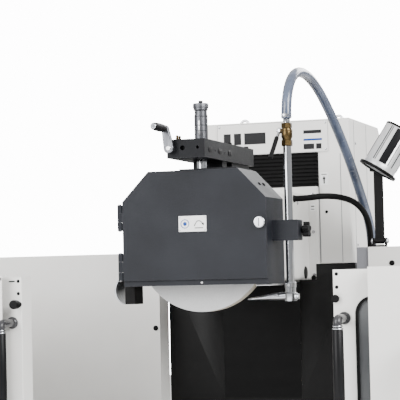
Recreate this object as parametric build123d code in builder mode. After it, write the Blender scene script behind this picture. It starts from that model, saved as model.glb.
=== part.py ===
from build123d import *
import os
from math import cos, pi, radians, sin, tan

os.makedirs("parts", exist_ok=True)

# Surface grinder with a travelling column. Millimetres, +Z up, origin on the floor under the
# middle of the machine. Places called "from the wheel" are measured from the wheel's centre.

# ---- places of the wheel, table and floor ----
wheel_y = -540.0
wheel_z = 1560.0
foot_height = 60.0
work_y = 80.0            # middle of the chuck, from the wheel
column_forward = 100.0
fit = 0.05               # radial clearance of a running fit
gap = 0.3                # clearance between faces that slide past each other
sheet = 3.0              # panel thickness

# ---- wheel and spindle ----
wheel_diameter = 350.0
wheel_width = 40.0
wheel_bore = 127.0
flange_diameter = 180.0
flange_thickness = 14.0
spindle_diameter = 60.0
bearing_width = 40.0
bearing_diameter = 110.0
motor_diameter = 236.0
motor_length = 230.0

# ---- wheel guard, from the wheel ----
guard_width = 384.9
guard_top_width = 241.0
guard_top = 187.0
guard_shoulder = 111.6
guard_bottom = -106.0
guard_wall = 8.0
guard_front = -74.6
guard_back = 77.8
door_plate = 6.0
door_bottom = -92.2
hinge_offset = 7.6       # hinge axis outside the guard's side
hinge_y = -78.0
hinge_radius = 6.4
pin_radius = 3.0
hinge_spans = ((37.5, 103.6), (-91.0, -21.0))
lock_x = 176.0
lock_z = 48.7
lock_radius = 15.0

# ---- dresser on the guard ----
block_width = 100.0
block_front = -129.0
block_rear = 300.0
block_bottom = 215.0
block_top = 262.0
dresser_travel = 28.0
channel_left = -46.0
channel_right = 24.0
sleeve_radius = 17.4
sleeve_top = 333.0
quill_radius = 13.0
knob_radius = 20.0
crank_x = -39.0
crank_z = 239.0
crank_shaft_radius = 6.0
crank_length = 50.0
grip_radius = 9.6
grip_length = 78.0

# ---- coolant pipe, valve and nozzle, from the wheel ----
pipe_x = 232.0
pipe_y = -10.0
pipe_radius = 10.3
pipe_bore = 8.0
pipe_bottom = -123.0
pipe_top = 249.0
clamp_right = 261.0
clamp_bottom = 2.0
clamp_top = 54.0
clamp_depth = 42.0
valve_top = 298.0
lever_axis_z = 280.0
hose_start = 312.0
hose_diameter = 26.0
cable_diameter = 17.0

# ---- wheel head and column, from the wheel ----
head_width = 220.0
head_bottom = -100.0
head_top = 150.0
head_back = 640.0
plate_width = 274.0
plate_bottom = -105.0
plate_top = 172.5
plate_thickness = 27.0
cover_front = 662.0
cover_width = 466.0
cover_top = 371.0
cover_depth = 438.0
cover_foot = -700.0
cover_skirt = -52.0
opening_width = 278.0
opening_top = 272.8
casting_front = 700.0
casting_depth = 350.0
casting_width = 430.0
casting_wall = 65.0
rail_x = 180.0
rail_width = 30.0
rail_height = 16.0
apron_y = 504.6
apron_width = 558.0
apron_top = -54.7
apron_bottom = -445.0
slot_width = 230.0

# ---- bed and saddle, from the floor ----
bed_length = 1800.0
bed_front = -715.0
bed_split = -160.0
bed_rear = 930.0
bed_top = 868.0
bed_wall = 40.0
trench_depth = 40.0
rear_width = 640.0
rear_top = 640.0
way_height = 30.0
table_length = 900.0
table_width = 460.0
table_thickness = 80.0
chuck_length = 800.0
chuck_width = 400.0
chuck_height = 102.0
saddle_width = 540.0
saddle_front = 20.0
saddle_rear = 560.0
saddle_top = 760.0
cross_rail_x = 220.0
cross_rail_height = 35.0

# ---- enclosure ----
enclosure_width = 2060.0
panel_front = -285.0     # outer face of the front panels, from the wheel
panel_top = -70.7
back_panel_y = 428.0     # front face of the back panels, from the wheel
back_panel_top = -12.4
back_panel_edge = 281.0
right_panel_edge = 334.0
post_left = 300.0
left_front_edge = -440.0
right_front_edge = 494.0
door_y = -249.5
door_depth = 60.0
door_top = -75.5
door_edge = 402.0
door_length = 520.0
door_foot = 870.0
window_margin = 55.5
window_width = 420.0
window_drop = 66.0
handle_x = 428.0
grip_sleeve = 13.5
handle_high = -190.0
handle_low = -470.0
handle_reach = 70.0

at_wheel = Plane(origin=(0, wheel_y, wheel_z))


def facing(y):
    """Plane whose normal points to the front, at distance y behind the wheel's centre."""
    return Plane(origin=(0, wheel_y + y, wheel_z), x_dir=(1, 0, 0), z_dir=(0, -1, 0))


def level(z):
    """Horizontal plane at height z above the wheel's centre."""
    return Plane(origin=(0, wheel_y, wheel_z + z))


def slab(x, y, z, mode=Mode.ADD):
    """Box between two limits on each axis."""
    with Locations(((x[0] + x[1]) / 2, (y[0] + y[1]) / 2, (z[0] + z[1]) / 2)):
        Box(x[1] - x[0], y[1] - y[0], z[1] - z[0], mode=mode)


def rod(start, direction, radius, length, mode=Mode.ADD):
    """Cylinder that leaves start along direction."""
    with Locations(Plane(origin=start, z_dir=direction)):
        Cylinder(radius, length, align=(Align.CENTER, Align.CENTER, Align.MIN), mode=mode)


def keep(piece, name):
    """Label a finished piece and write it to its own file."""
    piece.part.label = name
    export_step(piece.part, f"parts/{name}.step")


def guard_outline(half_width, half_top, top, shoulder, bottom):
    """Closed outline of the guard: a rectangle with its two upper corners cut off."""
    with BuildLine() as outline:
        Polyline(
            (-half_width, bottom),
            (-half_width, shoulder),
            (-half_top, top),
            (half_top, top),
            (half_width, shoulder),
            (half_width, bottom),
            close=True,
        )
    make_face(outline.edges())


# ================= bed, feet and ways =================
bed_half = bed_length / 2
rear_half = rear_width / 2

with BuildPart() as bed_casting:
    slab((-bed_half, bed_half), (bed_front, bed_split), (foot_height, bed_top))
    slab((-rear_half, rear_half), (bed_split, bed_rear), (foot_height, rear_top))
    fillet(bed_casting.edges().filter_by(Axis.Z), 20)
    bay = (bed_length - 5 * bed_wall) / 4
    for i in range(4):
        low = -bed_half + bed_wall + i * (bay + bed_wall)
        slab((low, low + bay), (bed_front + bed_wall, bed_split - bed_wall),
             (foot_height, bed_top - 60), mode=Mode.SUBTRACT)
    # trench for the table's feed screw
    slab((-bed_half - 1, bed_half + 1), (wheel_y + work_y - 46, wheel_y + work_y + 46),
         (bed_top - trench_depth, bed_top + 1), mode=Mode.SUBTRACT)
    rear_bay = (bed_rear - bed_split - 3 * bed_wall) / 3
    for i in range(3):
        low = bed_split + i * (rear_bay + bed_wall)
        slab((-rear_half + bed_wall, rear_half - bed_wall), (low, low + rear_bay),
             (foot_height, rear_top - 60), mode=Mode.SUBTRACT)
keep(bed_casting, "bed_casting")

foot_x = bed_half - bed_wall / 2
foot_places = [(s * foot_x, y) for s in (-1, 1) for y in (bed_front + bed_wall / 2, bed_split - bed_wall / 2)]
foot_places += [(s * (rear_half - bed_wall / 2), bed_rear - bed_wall / 2) for s in (-1, 1)]
with BuildPart() as levelling_feet:
    for x, y in foot_places:
        with BuildSketch(Plane.XY):
            with Locations((x, y)):
                Circle(42)
        extrude(amount=22)
        rod((x, y, 22), (0, 0, 1), 14, foot_height - 22)
        with Locations((x, y, 40)):
            Cylinder(20, 10)
    chamfer(levelling_feet.edges().filter_by(GeomType.CIRCLE).group_by(Axis.Z)[0], 2)
keep(levelling_feet, "levelling_feet")

table_way_top = bed_top + way_height
way_y = wheel_y + work_y
with BuildPart() as bed_ways:
    for s in (-1, 1):
        y = way_y + s * 150
        slab((-bed_half + 20, bed_half - 20), (y - 30, y + 30), (bed_top, table_way_top))
        x = s * cross_rail_x
        slab((x - 18, x + 18), (saddle_front - column_forward - 40, bed_rear - 5),
             (rear_top, rear_top + cross_rail_height))
keep(bed_ways, "bed_ways")

# ================= feed screws =================
table_screw_z = bed_top - 6
with BuildPart() as table_screw:
    rod((-bed_half + 60, way_y, table_screw_z), (1, 0, 0), 16, bed_length - 120)
    for s in (-1, 1):
        rod((s * (bed_half - 60), way_y, table_screw_z), (s, 0, 0), 12, 50)
keep(table_screw, "table_screw")

cross_screw_z = rear_top + 60
cross_screw_start = saddle_front - column_forward - 20
cross_screw_end = bed_rear - 30
with BuildPart() as cross_screw:
    rod((0, cross_screw_start, cross_screw_z), (0, 1, 0), 16, cross_screw_end - cross_screw_start)
keep(cross_screw, "cross_screw")

head_screw_x = 0.0
head_screw_y = casting_front + casting_depth - casting_wall - 45
with BuildPart(at_wheel) as head_screw:
    rod((head_screw_x, head_screw_y, saddle_top + 30 - wheel_z), (0, 0, 1), 16,
        wheel_z + cover_top - 60 - saddle_top)
keep(head_screw, "head_screw")

# Bearing blocks carry each screw at its two ends.
with BuildPart() as screw_bearings:
    for s in (-1, 1):
        slab((s * (bed_half - 34) - 22, s * (bed_half - 34) + 22), (way_y - 45, way_y + 45),
             (bed_top - trench_depth, bed_top + 20))
        rod((s * (bed_half - 56), way_y, table_screw_z), (s, 0, 0), 12 + fit, 44, mode=Mode.SUBTRACT)
    for y in (cross_screw_start, cross_screw_end - 40):
        slab((-50, 50), (y, y + 40), (rear_top, rear_top + 105))
        rod((0, y, cross_screw_z), (0, 1, 0), 16 + fit, 40, mode=Mode.SUBTRACT)
keep(screw_bearings, "screw_bearings")

# ================= table and magnetic chuck =================
with BuildPart() as work_table:
    slab((-table_length / 2, table_length / 2),
         (way_y - table_width / 2, way_y + table_width / 2),
         (table_way_top, table_way_top + table_thickness))
    # gutter round the chuck
    with BuildSketch(Plane.XY.offset(table_way_top + table_thickness)):
        with Locations((0, way_y)):
            Rectangle(table_length - 20, table_width - 16)
            Rectangle(chuck_length + 12, chuck_width + 12, mode=Mode.SUBTRACT)
    extrude(amount=-18, mode=Mode.SUBTRACT)
    # guide strips that hang down outside the two ways
    for s in (-1, 1):
        y = way_y + s * (150 + 30 + gap + 8)
        slab((-table_length / 2, table_length / 2), (y - 8, y + 8),
             (table_way_top - 24, table_way_top))
    # nut of the table screw
    slab((-60, 60), (way_y - 40, way_y + 40), (table_screw_z - 22, table_way_top))
    rod((-60, way_y, table_screw_z), (1, 0, 0), 16 + fit, 120, mode=Mode.SUBTRACT)
keep(work_table, "work_table")

chuck_base = table_way_top + table_thickness
chuck_top = chuck_base + chuck_height
with BuildPart() as magnetic_chuck:
    slab((-chuck_length / 2, chuck_length / 2),
         (way_y - chuck_width / 2, way_y + chuck_width / 2), (chuck_base, chuck_top))
    chamfer(magnetic_chuck.edges().group_by(Axis.Z)[-1], 2)
    for s in (-1, 1):
        for z in (chuck_base + 30, chuck_base + 72):
            slab((-chuck_length / 2, chuck_length / 2),
                 (way_y + s * chuck_width / 2 - 4, way_y + s * chuck_width / 2 + 4),
                 (z - 3, z + 3), mode=Mode.SUBTRACT)
keep(magnetic_chuck, "magnetic_chuck")

# ================= saddle and column =================
with BuildPart() as column_saddle:
    slab((-saddle_width / 2, saddle_width / 2), (saddle_front, saddle_rear),
         (rear_top + cross_rail_height, saddle_top))
    for s in (-1, 1):
        x = s * (cross_rail_x + 18 + gap + 9)
        slab((x - 9, x + 9), (saddle_front, saddle_rear), (rear_top + 8, rear_top + cross_rail_height))
    slab((-120, 120), (saddle_front, saddle_rear),
         (rear_top + cross_rail_height, saddle_top - 30), mode=Mode.SUBTRACT)
    slab((-50, 50), (saddle_front + 230, saddle_front + 330),
         (cross_screw_z - 32, saddle_top - 30))
    rod((0, saddle_front + 230, cross_screw_z), (0, 1, 0), 16 + fit, 100, mode=Mode.SUBTRACT)
keep(column_saddle, "column_saddle")

casting_back = casting_front + casting_depth
with BuildPart() as column_casting:
    with BuildSketch(Plane(origin=(0, wheel_y, saddle_top))):
        with Locations((0, casting_front + casting_depth / 2)):
            Rectangle(casting_width, casting_depth)
        # channel for the motor and the head screw, open to the front
        with Locations((0, casting_front + (casting_depth - casting_wall) / 2)):
            Rectangle(casting_width - 2 * casting_wall, casting_depth - casting_wall,
                      mode=Mode.SUBTRACT)
    extrude(amount=wheel_z + cover_top - 25 - saddle_top)
    slab((-casting_width / 2, casting_width / 2),
         (wheel_y + casting_front + 60, wheel_y + casting_back), (saddle_top, saddle_top + 28))
    top = wheel_z + cover_top - 25
    slab((-casting_width / 2, casting_width / 2),
         (wheel_y + casting_front + 60, wheel_y + casting_back), (top - 30, top))
    rod((head_screw_x, wheel_y + head_screw_y, top - 30), (0, 0, 1), 16 + fit, 30, mode=Mode.SUBTRACT)
keep(column_casting, "column_casting")

rail_front = casting_front - rail_height
with BuildPart(at_wheel) as head_ways:
    for s in (-1, 1):
        slab((s * rail_x - rail_width / 2, s * rail_x + rail_width / 2),
             (rail_front, casting_front), (-480, cover_top - 40))
keep(head_ways, "head_ways")

cover_half = cover_width / 2
cover_back = cover_front + cover_depth
with BuildPart(at_wheel) as column_cover:
    slab((-cover_half, cover_half), (cover_front, cover_back), (cover_foot, cover_top))
    chamfer(column_cover.edges().filter_by(Axis.X).group_by(Axis.Z)[-1].sort_by(Axis.Y)[-1], 50)
    fillet(column_cover.edges().filter_by(Axis.Z).sort_by(Axis.Y)[:2], 4)
    offset(amount=-sheet, openings=column_cover.faces().sort_by(Axis.Z)[0])
    slab((-opening_width / 2, opening_width / 2), (cover_front - 1, cover_front + sheet + 2),
         (cover_skirt, opening_top), mode=Mode.SUBTRACT)
    slab((-cover_half - 1, cover_half + 1), (cover_front - 1, cover_front + 40),
         (cover_foot - 1, cover_skirt), mode=Mode.SUBTRACT)
    rod((160, cover_front - 1, 98), (0, 1, 0), 4, sheet + 2, mode=Mode.SUBTRACT)
    # pads that the cover is screwed to the casting through
    for s in (-1, 1):
        near, far = sorted((s * casting_width / 2, s * (cover_half - 1)))
        for z in (-600, 250):
            slab((near, far), (casting_front + 120, casting_front + 180), (z, z + 40))
keep(column_cover, "column_cover")

with BuildPart(at_wheel) as sign_plate:
    slab((-172, 172), (cover_front - 2, cover_front), (opening_top + 1, cover_top - 2.6))
    fillet(sign_plate.edges().filter_by(Axis.Y), 4)
keep(sign_plate, "sign_plate")

slot_half = slot_width / 2
apron_half = apron_width / 2
apron_rear = apron_y + 85
with BuildPart(at_wheel) as apron:
    slab((-apron_half, apron_half), (apron_y, apron_rear), (apron_bottom, apron_top))
    slab((-apron_half + sheet, apron_half - sheet), (apron_y + sheet, apron_rear + 1),
         (apron_bottom - 1, apron_top - sheet), mode=Mode.SUBTRACT)
    slab((-slot_half, slot_half), (apron_y - 1, apron_y + sheet + 1),
         (apron_bottom + 12, apron_top + 1), mode=Mode.SUBTRACT)
    slab((-cover_half - 1, cover_half + 1), (apron_y + 60, apron_rear + 1),
         (apron_top - sheet - 1, apron_top + 1), mode=Mode.SUBTRACT)
    slab((-slot_half, slot_half), (apron_y - 1, apron_y + 61),
         (apron_top - sheet - 1, apron_top + 1), mode=Mode.SUBTRACT)
    # brackets that tie the apron to the column's two sides
    for s in (-1, 1):
        x = s * (apron_half + cover_half) / 2
        width = apron_half - cover_half
        for z in (-300, -150):
            slab((x - width / 2, x + width / 2), (apron_rear - 20, cover_front + 50), (z, z + 8))
keep(apron, "apron")


def bellows(name, half_width, y, z, pleats):
    """Pleated cover: a zigzag sheet, closed at its two edges."""
    pitch = (z[1] - z[0]) / pleats
    with BuildPart(at_wheel) as piece:
        with BuildSketch(Plane(origin=(-half_width, wheel_y, wheel_z), x_dir=(0, 1, 0), z_dir=(1, 0, 0))):
            with BuildLine():
                front = [(y[0] if i % 2 else y[0] + 8, z[0] + i * pitch / 2) for i in range(2 * pleats + 1)]
                back = [(p + 5, q) for p, q in reversed(front)]
                Polyline(*front, *back, close=True)
            make_face()
        extrude(amount=2 * half_width)
    keep(piece, name)


bellows("upper_bellows", opening_width / 2 - 1, (cover_front - 8, cover_front + 4),
        (plate_top, opening_top), 8)
bellows("lower_bellows", slot_half - 2, (apron_y - 6, apron_y + 8), (apron_bottom + 12, plate_bottom - 1), 26)

# ---- routes of the hose and the cable, from the wheel ----
hose_route = [(232, -10, 312), (232, -10, 350), (233, 23, 409), (235, 86, 443), (239, 172, 444),
              (246, 255, 417), (256, 335, 364), (266, 405, 304), (276, 468, 240), (285, 528, 170),
              (292, 580, 108), (296, 624, 55), (295, 650, 6), (295, 650, -45)]
cable_route = [(128, 420, 128), (166, 420, 128), (208, 436, 134), (248, 466, 131), (280, 500, 119),
               (298, 536, 95), (306, 570, 60), (304, 600, 19), (297, 618, -14), (297, 618, -45)]

# ================= wheel head =================
head_half = head_width / 2
plate_back = head_back + plate_thickness
bearing_places = (130.0, 560.0)
with BuildPart(at_wheel) as wheel_head:
    slab((-head_half, head_half), (guard_back, head_back), (head_bottom, head_top))
    fillet(wheel_head.edges().filter_by(Axis.Y), 10)
    slab((-plate_width / 2, plate_width / 2), (head_back, plate_back), (plate_bottom, plate_top))
    # carriage behind the column's front cover, with lips outside the two rails
    slab((-rail_x - 34, rail_x + 34), (plate_back, rail_front - gap), (plate_bottom, plate_top - 4))
    for s in (-1, 1):
        x = s * (rail_x + rail_width / 2 + gap + 8)
        slab((x - 8, x + 8), (rail_front - gap, casting_front - 3), (plate_bottom, plate_top - 4))
    # bore for the spindle, and the two bearing seats
    rod((0, guard_back, 0), (0, 1, 0), bearing_diameter / 2 - 8,
        rail_front - guard_back, mode=Mode.SUBTRACT)
    for y in bearing_places:
        rod((0, y, 0), (0, 1, 0), bearing_diameter / 2, bearing_width,
            mode=Mode.SUBTRACT)
    rod((0, guard_back, 0), (0, 1, 0), bearing_diameter / 2,
        bearing_places[0] - guard_back, mode=Mode.SUBTRACT)
    # gland of the power cable
    gland = cable_route[0]
    rod((head_half, gland[1], gland[2]), (1, 0, 0), 15, gland[0] - head_half)
keep(wheel_head, "wheel_head")

with BuildPart(at_wheel) as spindle_bearings:
    for y in bearing_places:
        rod((0, y, 0), (0, 1, 0), bearing_diameter / 2 - 0.02, bearing_width)
        rod((0, y, 0), (0, 1, 0), spindle_diameter / 2 + fit, bearing_width,
            mode=Mode.SUBTRACT)
keep(spindle_bearings, "spindle_bearings")

motor_front = rail_front - gap
with BuildPart(at_wheel) as spindle_motor:
    rod((0, motor_front, 0), (0, 1, 0), motor_diameter / 2, motor_length)
    fillet(spindle_motor.edges().sort_by(Axis.Y)[-1], 10)
    rod((0, motor_front, 0), (0, 1, 0), motor_diameter / 2 - 14,
        motor_length - 14, mode=Mode.SUBTRACT)
    # nut of the head screw, on the motor's back
    slab((-45, 45), (motor_front + motor_length, head_screw_y + 38), (-40, 40))
    rod((head_screw_x, head_screw_y, -40), (0, 0, 1), 16 + fit, 80,
        mode=Mode.SUBTRACT)
keep(spindle_motor, "spindle_motor")

shaft_end = motor_front + motor_length - 30
nut_length = 24.0
flange_front = -wheel_width / 2 - flange_thickness
with BuildPart(at_wheel) as spindle_shaft:
    rod((0, flange_front - nut_length, 0), (0, 1, 0), spindle_diameter / 2,
        shaft_end - flange_front + nut_length)
    rod((0, motor_front + 20, 0), (0, 1, 0), motor_diameter / 2 - 30,
        motor_length - 60)
keep(spindle_shaft, "spindle_shaft")

with BuildPart(at_wheel) as wheel_flanges:
    rod((0, wheel_width / 2, 0), (0, 1, 0), flange_diameter / 2, flange_thickness)
    rod((0, -wheel_width / 2, 0), (0, 1, 0), wheel_bore / 2 - 0.1, wheel_width)
    rod((0, flange_front, 0), (0, 1, 0), flange_diameter / 2, flange_thickness)
    fillet(wheel_flanges.edges().filter_by(GeomType.CIRCLE).sort_by(Axis.Y)[0], 3)
    rod((0, flange_front, 0), (0, 1, 0), spindle_diameter / 2,
        wheel_width + 2 * flange_thickness, mode=Mode.SUBTRACT)
    # balance weight groove in the front flange
    with BuildSketch(facing(flange_front)):
        Circle(72)
        Circle(56, mode=Mode.SUBTRACT)
    extrude(amount=-5, mode=Mode.SUBTRACT)
    # nut in front of the flange, a separate piece
    with BuildSketch(facing(flange_front - gap)):
        RegularPolygon(44, 6)
        Circle(spindle_diameter / 2, mode=Mode.SUBTRACT)
    extrude(amount=nut_length - 2)
keep(wheel_flanges, "wheel_flanges")

with BuildPart(at_wheel) as grinding_wheel:
    rod((0, -wheel_width / 2, 0), (0, 1, 0), wheel_diameter / 2, wheel_width)
    chamfer(grinding_wheel.edges().filter_by(GeomType.CIRCLE), 1)
    rod((0, -wheel_width / 2, 0), (0, 1, 0), wheel_bore / 2, wheel_width,
        mode=Mode.SUBTRACT)
keep(grinding_wheel, "grinding_wheel")

# ================= wheel guard =================
guard_half = guard_width / 2
top_half = guard_top_width / 2
inner_half = guard_half - guard_wall
inner_top = guard_top - guard_wall
inner_shoulder = guard_shoulder - guard_wall * tan(radians(22.5))
inner_top_half = top_half - guard_wall * tan(radians(22.5))
with BuildPart(at_wheel) as guard_body:
    with BuildSketch(facing(guard_front)):
        guard_outline(guard_half, top_half, guard_top, guard_shoulder, guard_bottom)
    extrude(amount=guard_front - guard_back)
    with BuildSketch(facing(guard_front)):
        guard_outline(inner_half, inner_top_half, inner_top, inner_shoulder, guard_bottom - 1)
    extrude(amount=guard_front - guard_back + guard_wall, mode=Mode.SUBTRACT)
    # front strip under the door
    slab((-inner_half, inner_half), (guard_front, guard_front + guard_wall),
         (guard_bottom, door_bottom))
    rod((0, guard_back - guard_wall, 0), (0, 1, 0), 48, guard_wall, mode=Mode.SUBTRACT)
    # slot in the roof for the diamond
    slab((-quill_radius - 3, quill_radius + 3), (-dresser_travel - 16, dresser_travel + 16),
         (inner_top - 2, guard_top + 1), mode=Mode.SUBTRACT)
keep(guard_body, "guard_body")

hinge_x = -guard_half - hinge_offset
knuckle = 21.0
knuckle_gap = 0.4
with BuildPart(at_wheel) as guard_hinges:
    for low, high in hinge_spans:
        for z0, z1 in ((low, low + knuckle), (high - knuckle, high)):
            rod((hinge_x, hinge_y, z0), (0, 0, 1), hinge_radius, z1 - z0)
            slab((hinge_x + 1.5, -guard_half), (hinge_y, hinge_y + 42), (z0, z1))
        rod((hinge_x, hinge_y, low), (0, 0, 1), pin_radius, high - low)
keep(guard_hinges, "guard_hinges")

with BuildPart(at_wheel) as guard_door:
    with BuildSketch(facing(guard_front)):
        guard_outline(guard_half, top_half, guard_top, guard_shoulder, door_bottom)
    extrude(amount=door_plate)
    chamfer(guard_door.faces().sort_by(Axis.Y)[0].edges(), 0.8)
    rod((lock_x, guard_front, lock_z), (0, -1, 0), 6 + fit, door_plate, mode=Mode.SUBTRACT)
    # knuckles on the door's edge
    for low, high in hinge_spans:
        z0 = low + knuckle + knuckle_gap
        z1 = high - knuckle - knuckle_gap
        slab((hinge_x, -guard_half + 1), (guard_front - door_plate, guard_front - 0.5), (z0, z1))
        rod((hinge_x, hinge_y, z0), (0, 0, 1), hinge_radius, z1 - z0)
        rod((hinge_x, hinge_y, z0), (0, 0, 1), pin_radius + fit, z1 - z0,
            mode=Mode.SUBTRACT)
keep(guard_door, "guard_door")

with BuildPart(at_wheel) as guard_lock:
    lock_face = guard_front - door_plate
    rod((lock_x, lock_face, lock_z), (0, -1, 0), lock_radius, 9)
    fillet(guard_lock.edges().sort_by(Axis.Y)[0], 3)
    slab((lock_x - 2, lock_x + 2), (lock_face - 10, lock_face - 5), (lock_z - 10, lock_z + 10),
         mode=Mode.SUBTRACT)
    rod((lock_x, lock_face, lock_z), (0, 1, 0), 6, door_plate + 4)
    slab((lock_x - 4, lock_x + 4), (guard_front + 1, guard_front + 4), (lock_z - 6, lock_z + 7.5))
keep(guard_lock, "guard_lock")

# curved deflector and the rubber mouth of the mist extraction at the guard's left foot
shield_front = -34.0
with BuildPart(at_wheel) as spark_shield:
    with BuildSketch(facing(shield_front)):
        with BuildLine():
            outer = ThreePointArc((-guard_half - 14, -78), (-guard_half - 44, -112), (-guard_half - 20, -152))
            Line(outer @ 1, (-guard_half - 16, -152))
            inner = ThreePointArc((-guard_half - 16, -152), (-guard_half - 40, -112), (-guard_half - 10, -78))
            Line(inner @ 1, outer @ 0)
        make_face()
    extrude(amount=shield_front - 40)
    slab((-guard_half - 14, -guard_half), (shield_front, 40), (-84, -78))
    slab((-guard_half - 16, -guard_half + 11), (-30, 30), (-152, guard_bottom))
    slab((-guard_half - 12, -guard_half + 7), (-26, 26), (-153, guard_bottom - 6), mode=Mode.SUBTRACT)
keep(spark_shield, "spark_shield")

# ================= dresser =================
block_half = block_width / 2
channel_reach = dresser_travel + 38
with BuildPart(at_wheel) as dresser_mount:
    slab((-38, 115), (-70, 62), (guard_top, guard_top + 3.5))
    slab((-quill_radius - 3, quill_radius + 3), (-dresser_travel - 16, dresser_travel + 16),
         (guard_top - 1, guard_top + 5), mode=Mode.SUBTRACT)
    slab((-40, 40), (48, guard_back), (guard_top + 3.5, block_bottom))
    slab((-40, 40), (guard_back, guard_back + 8), (head_top, block_bottom))
    slab((-40, 40), (130, 285), (head_top, block_bottom))
keep(dresser_mount, "dresser_mount")

with BuildPart(at_wheel) as dresser_block:
    slab((-block_half, block_half), (block_front, block_rear), (block_bottom, block_top))
    fillet(dresser_block.edges().filter_by(Axis.Z), 2)
    # channel for the carriage, and the slots for the sleeve and the quill
    slab((channel_left, channel_right), (-channel_reach, channel_reach),
         (block_bottom + 7, block_top - 6), mode=Mode.SUBTRACT)
    slab((-sleeve_radius - 1, sleeve_radius + 1), (-dresser_travel - sleeve_radius - 2, dresser_travel + sleeve_radius + 2),
         (block_top - 8, block_top + 1), mode=Mode.SUBTRACT)
    slab((-quill_radius - 2, quill_radius + 2), (-dresser_travel - 16, dresser_travel + 16),
         (block_bottom - 1, block_bottom + 8), mode=Mode.SUBTRACT)
    rod((crank_x, block_front, crank_z), (0, 1, 0), crank_shaft_radius + fit,
        -block_front - channel_reach, mode=Mode.SUBTRACT)
    # blind holes in the front and side faces
    rod((-8, block_front, 240), (0, 1, 0), 7, 14, mode=Mode.SUBTRACT)
    rod((32, block_front, 240), (0, 1, 0), 4.5, 14, mode=Mode.SUBTRACT)
    for y in (-82, 0, 82):
        rod((block_half, y, 236), (-1, 0, 0), 7, 10, mode=Mode.SUBTRACT)
    for y in (-41, 41):
        rod((block_half, y, 236), (-1, 0, 0), 2.5, 10, mode=Mode.SUBTRACT)
keep(dresser_block, "dresser_block")

carriage_half = 36.0
with BuildPart(at_wheel) as dresser_carriage:
    slab((channel_left + gap, channel_right - gap), (-carriage_half, carriage_half),
         (block_bottom + 7 + gap, block_top - 6 - gap))
    rod((0, 0, block_top - 8), (0, 0, 1), sleeve_radius, sleeve_top - block_top + 8)
    rod((0, 0, sleeve_top), (0, 0, 1), sleeve_radius - 1.2, 10)
    slab((-2.5, 2.5), (-sleeve_radius - 1, -sleeve_radius + 3), (278, 318), mode=Mode.SUBTRACT)
    rod((crank_x, -carriage_half, crank_z), (0, 1, 0), crank_shaft_radius + fit,
        2 * carriage_half, mode=Mode.SUBTRACT)
    rod((0, 0, block_bottom), (0, 0, 1), 8 + fit, sleeve_top - block_bottom + 12,
        mode=Mode.SUBTRACT)
keep(dresser_carriage, "dresser_carriage")

quill_bottom = wheel_diameter / 2 + 1
with BuildPart(at_wheel) as dresser_quill:
    rod((0, 0, quill_bottom + 8), (0, 0, 1), 5, 8)
    rod((0, 0, quill_bottom + 14), (0, 0, 1), quill_radius,
        block_bottom - quill_bottom - 14)
    rod((0, 0, block_bottom), (0, 0, 1), 8, 100)
    with Locations(Plane(origin=(0, 0, quill_bottom + 4))):
        Cone(0.6, 5, 8)
keep(dresser_quill, "dresser_quill")

with BuildPart(at_wheel) as micrometer_knob:
    rod((0, 0, sleeve_top + 10 + gap), (0, 0, 1), knob_radius - 2, 8)
    rod((0, 0, sleeve_top + 18), (0, 0, 1), knob_radius, 12)
    fillet(micrometer_knob.edges().sort_by(Axis.Z)[-1], 2)
    rod((0, 0, sleeve_top + 30), (0, 0, 1), 6, 8)
keep(micrometer_knob, "micrometer_knob")

arm_back = block_front - 8
arm_thickness = 11.0
arm_end = (crank_x - 9, crank_z + crank_length)
with BuildPart(at_wheel) as crank_arm:
    # pear-shaped arm: a large hub and a small end joined by tangents
    with BuildSketch(facing(arm_back)) as pear:
        with Locations((crank_x, crank_z)):
            Circle(13)
        with Locations(arm_end):
            Circle(9)
        make_hull(pear.sketch_local.edges())
    extrude(amount=arm_thickness)
    fillet(crank_arm.edges().group_by(Axis.Y)[0], 3)
    rod((crank_x, arm_back, crank_z), (0, 1, 0), crank_shaft_radius,
        channel_reach - arm_back - 4)
    rod((arm_end[0], arm_back - arm_thickness, arm_end[1]), (0, -1, 0), 5,
        grip_length + 4)
keep(crank_arm, "crank_arm")

grip_start = arm_back - arm_thickness - 1
with BuildPart(at_wheel) as crank_grip:
    with BuildSketch(Plane(origin=(arm_end[0], wheel_y + grip_start, wheel_z + arm_end[1]),
                           x_dir=(1, 0, 0), z_dir=(0, 0, 1))):
        with BuildLine():
            Polyline((5.1, 0), (grip_radius - 1.5, 0), (grip_radius, -3))
            ThreePointArc((grip_radius, -3), (grip_radius + 1.2, -grip_length * 0.6), (grip_radius, -grip_length + 3))
            Polyline((grip_radius, -grip_length + 3), (grip_radius - 2, -grip_length),
                     (5.1, -grip_length), (5.1, 0))
        make_face()
    revolve(axis=Axis((arm_end[0], wheel_y + grip_start, wheel_z + arm_end[1]), (0, 1, 0)))
keep(crank_grip, "crank_grip")

# ================= coolant pipe =================
clamp_front = pipe_y - clamp_depth / 2
with BuildPart(at_wheel) as pipe_clamp:
    slab((guard_half, clamp_right), (clamp_front, clamp_front + clamp_depth), (clamp_bottom, clamp_top))
    fillet(pipe_clamp.edges().filter_by(Axis.Y), 3)
    rod((pipe_x, pipe_y, clamp_bottom), (0, 0, 1), pipe_radius + 0.1,
        clamp_top - clamp_bottom, mode=Mode.SUBTRACT)
    # clamping slit, and the threaded hole of the clamp screw
    slab((pipe_x, clamp_right + 1), (pipe_y - 1.5, pipe_y + 1.5), (clamp_bottom - 1, clamp_top + 1),
         mode=Mode.SUBTRACT)
    rod((clamp_right - 14, pipe_y + 13, 28), (1, 0, 0), 4 + fit, 15, mode=Mode.SUBTRACT)
keep(pipe_clamp, "pipe_clamp")

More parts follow.
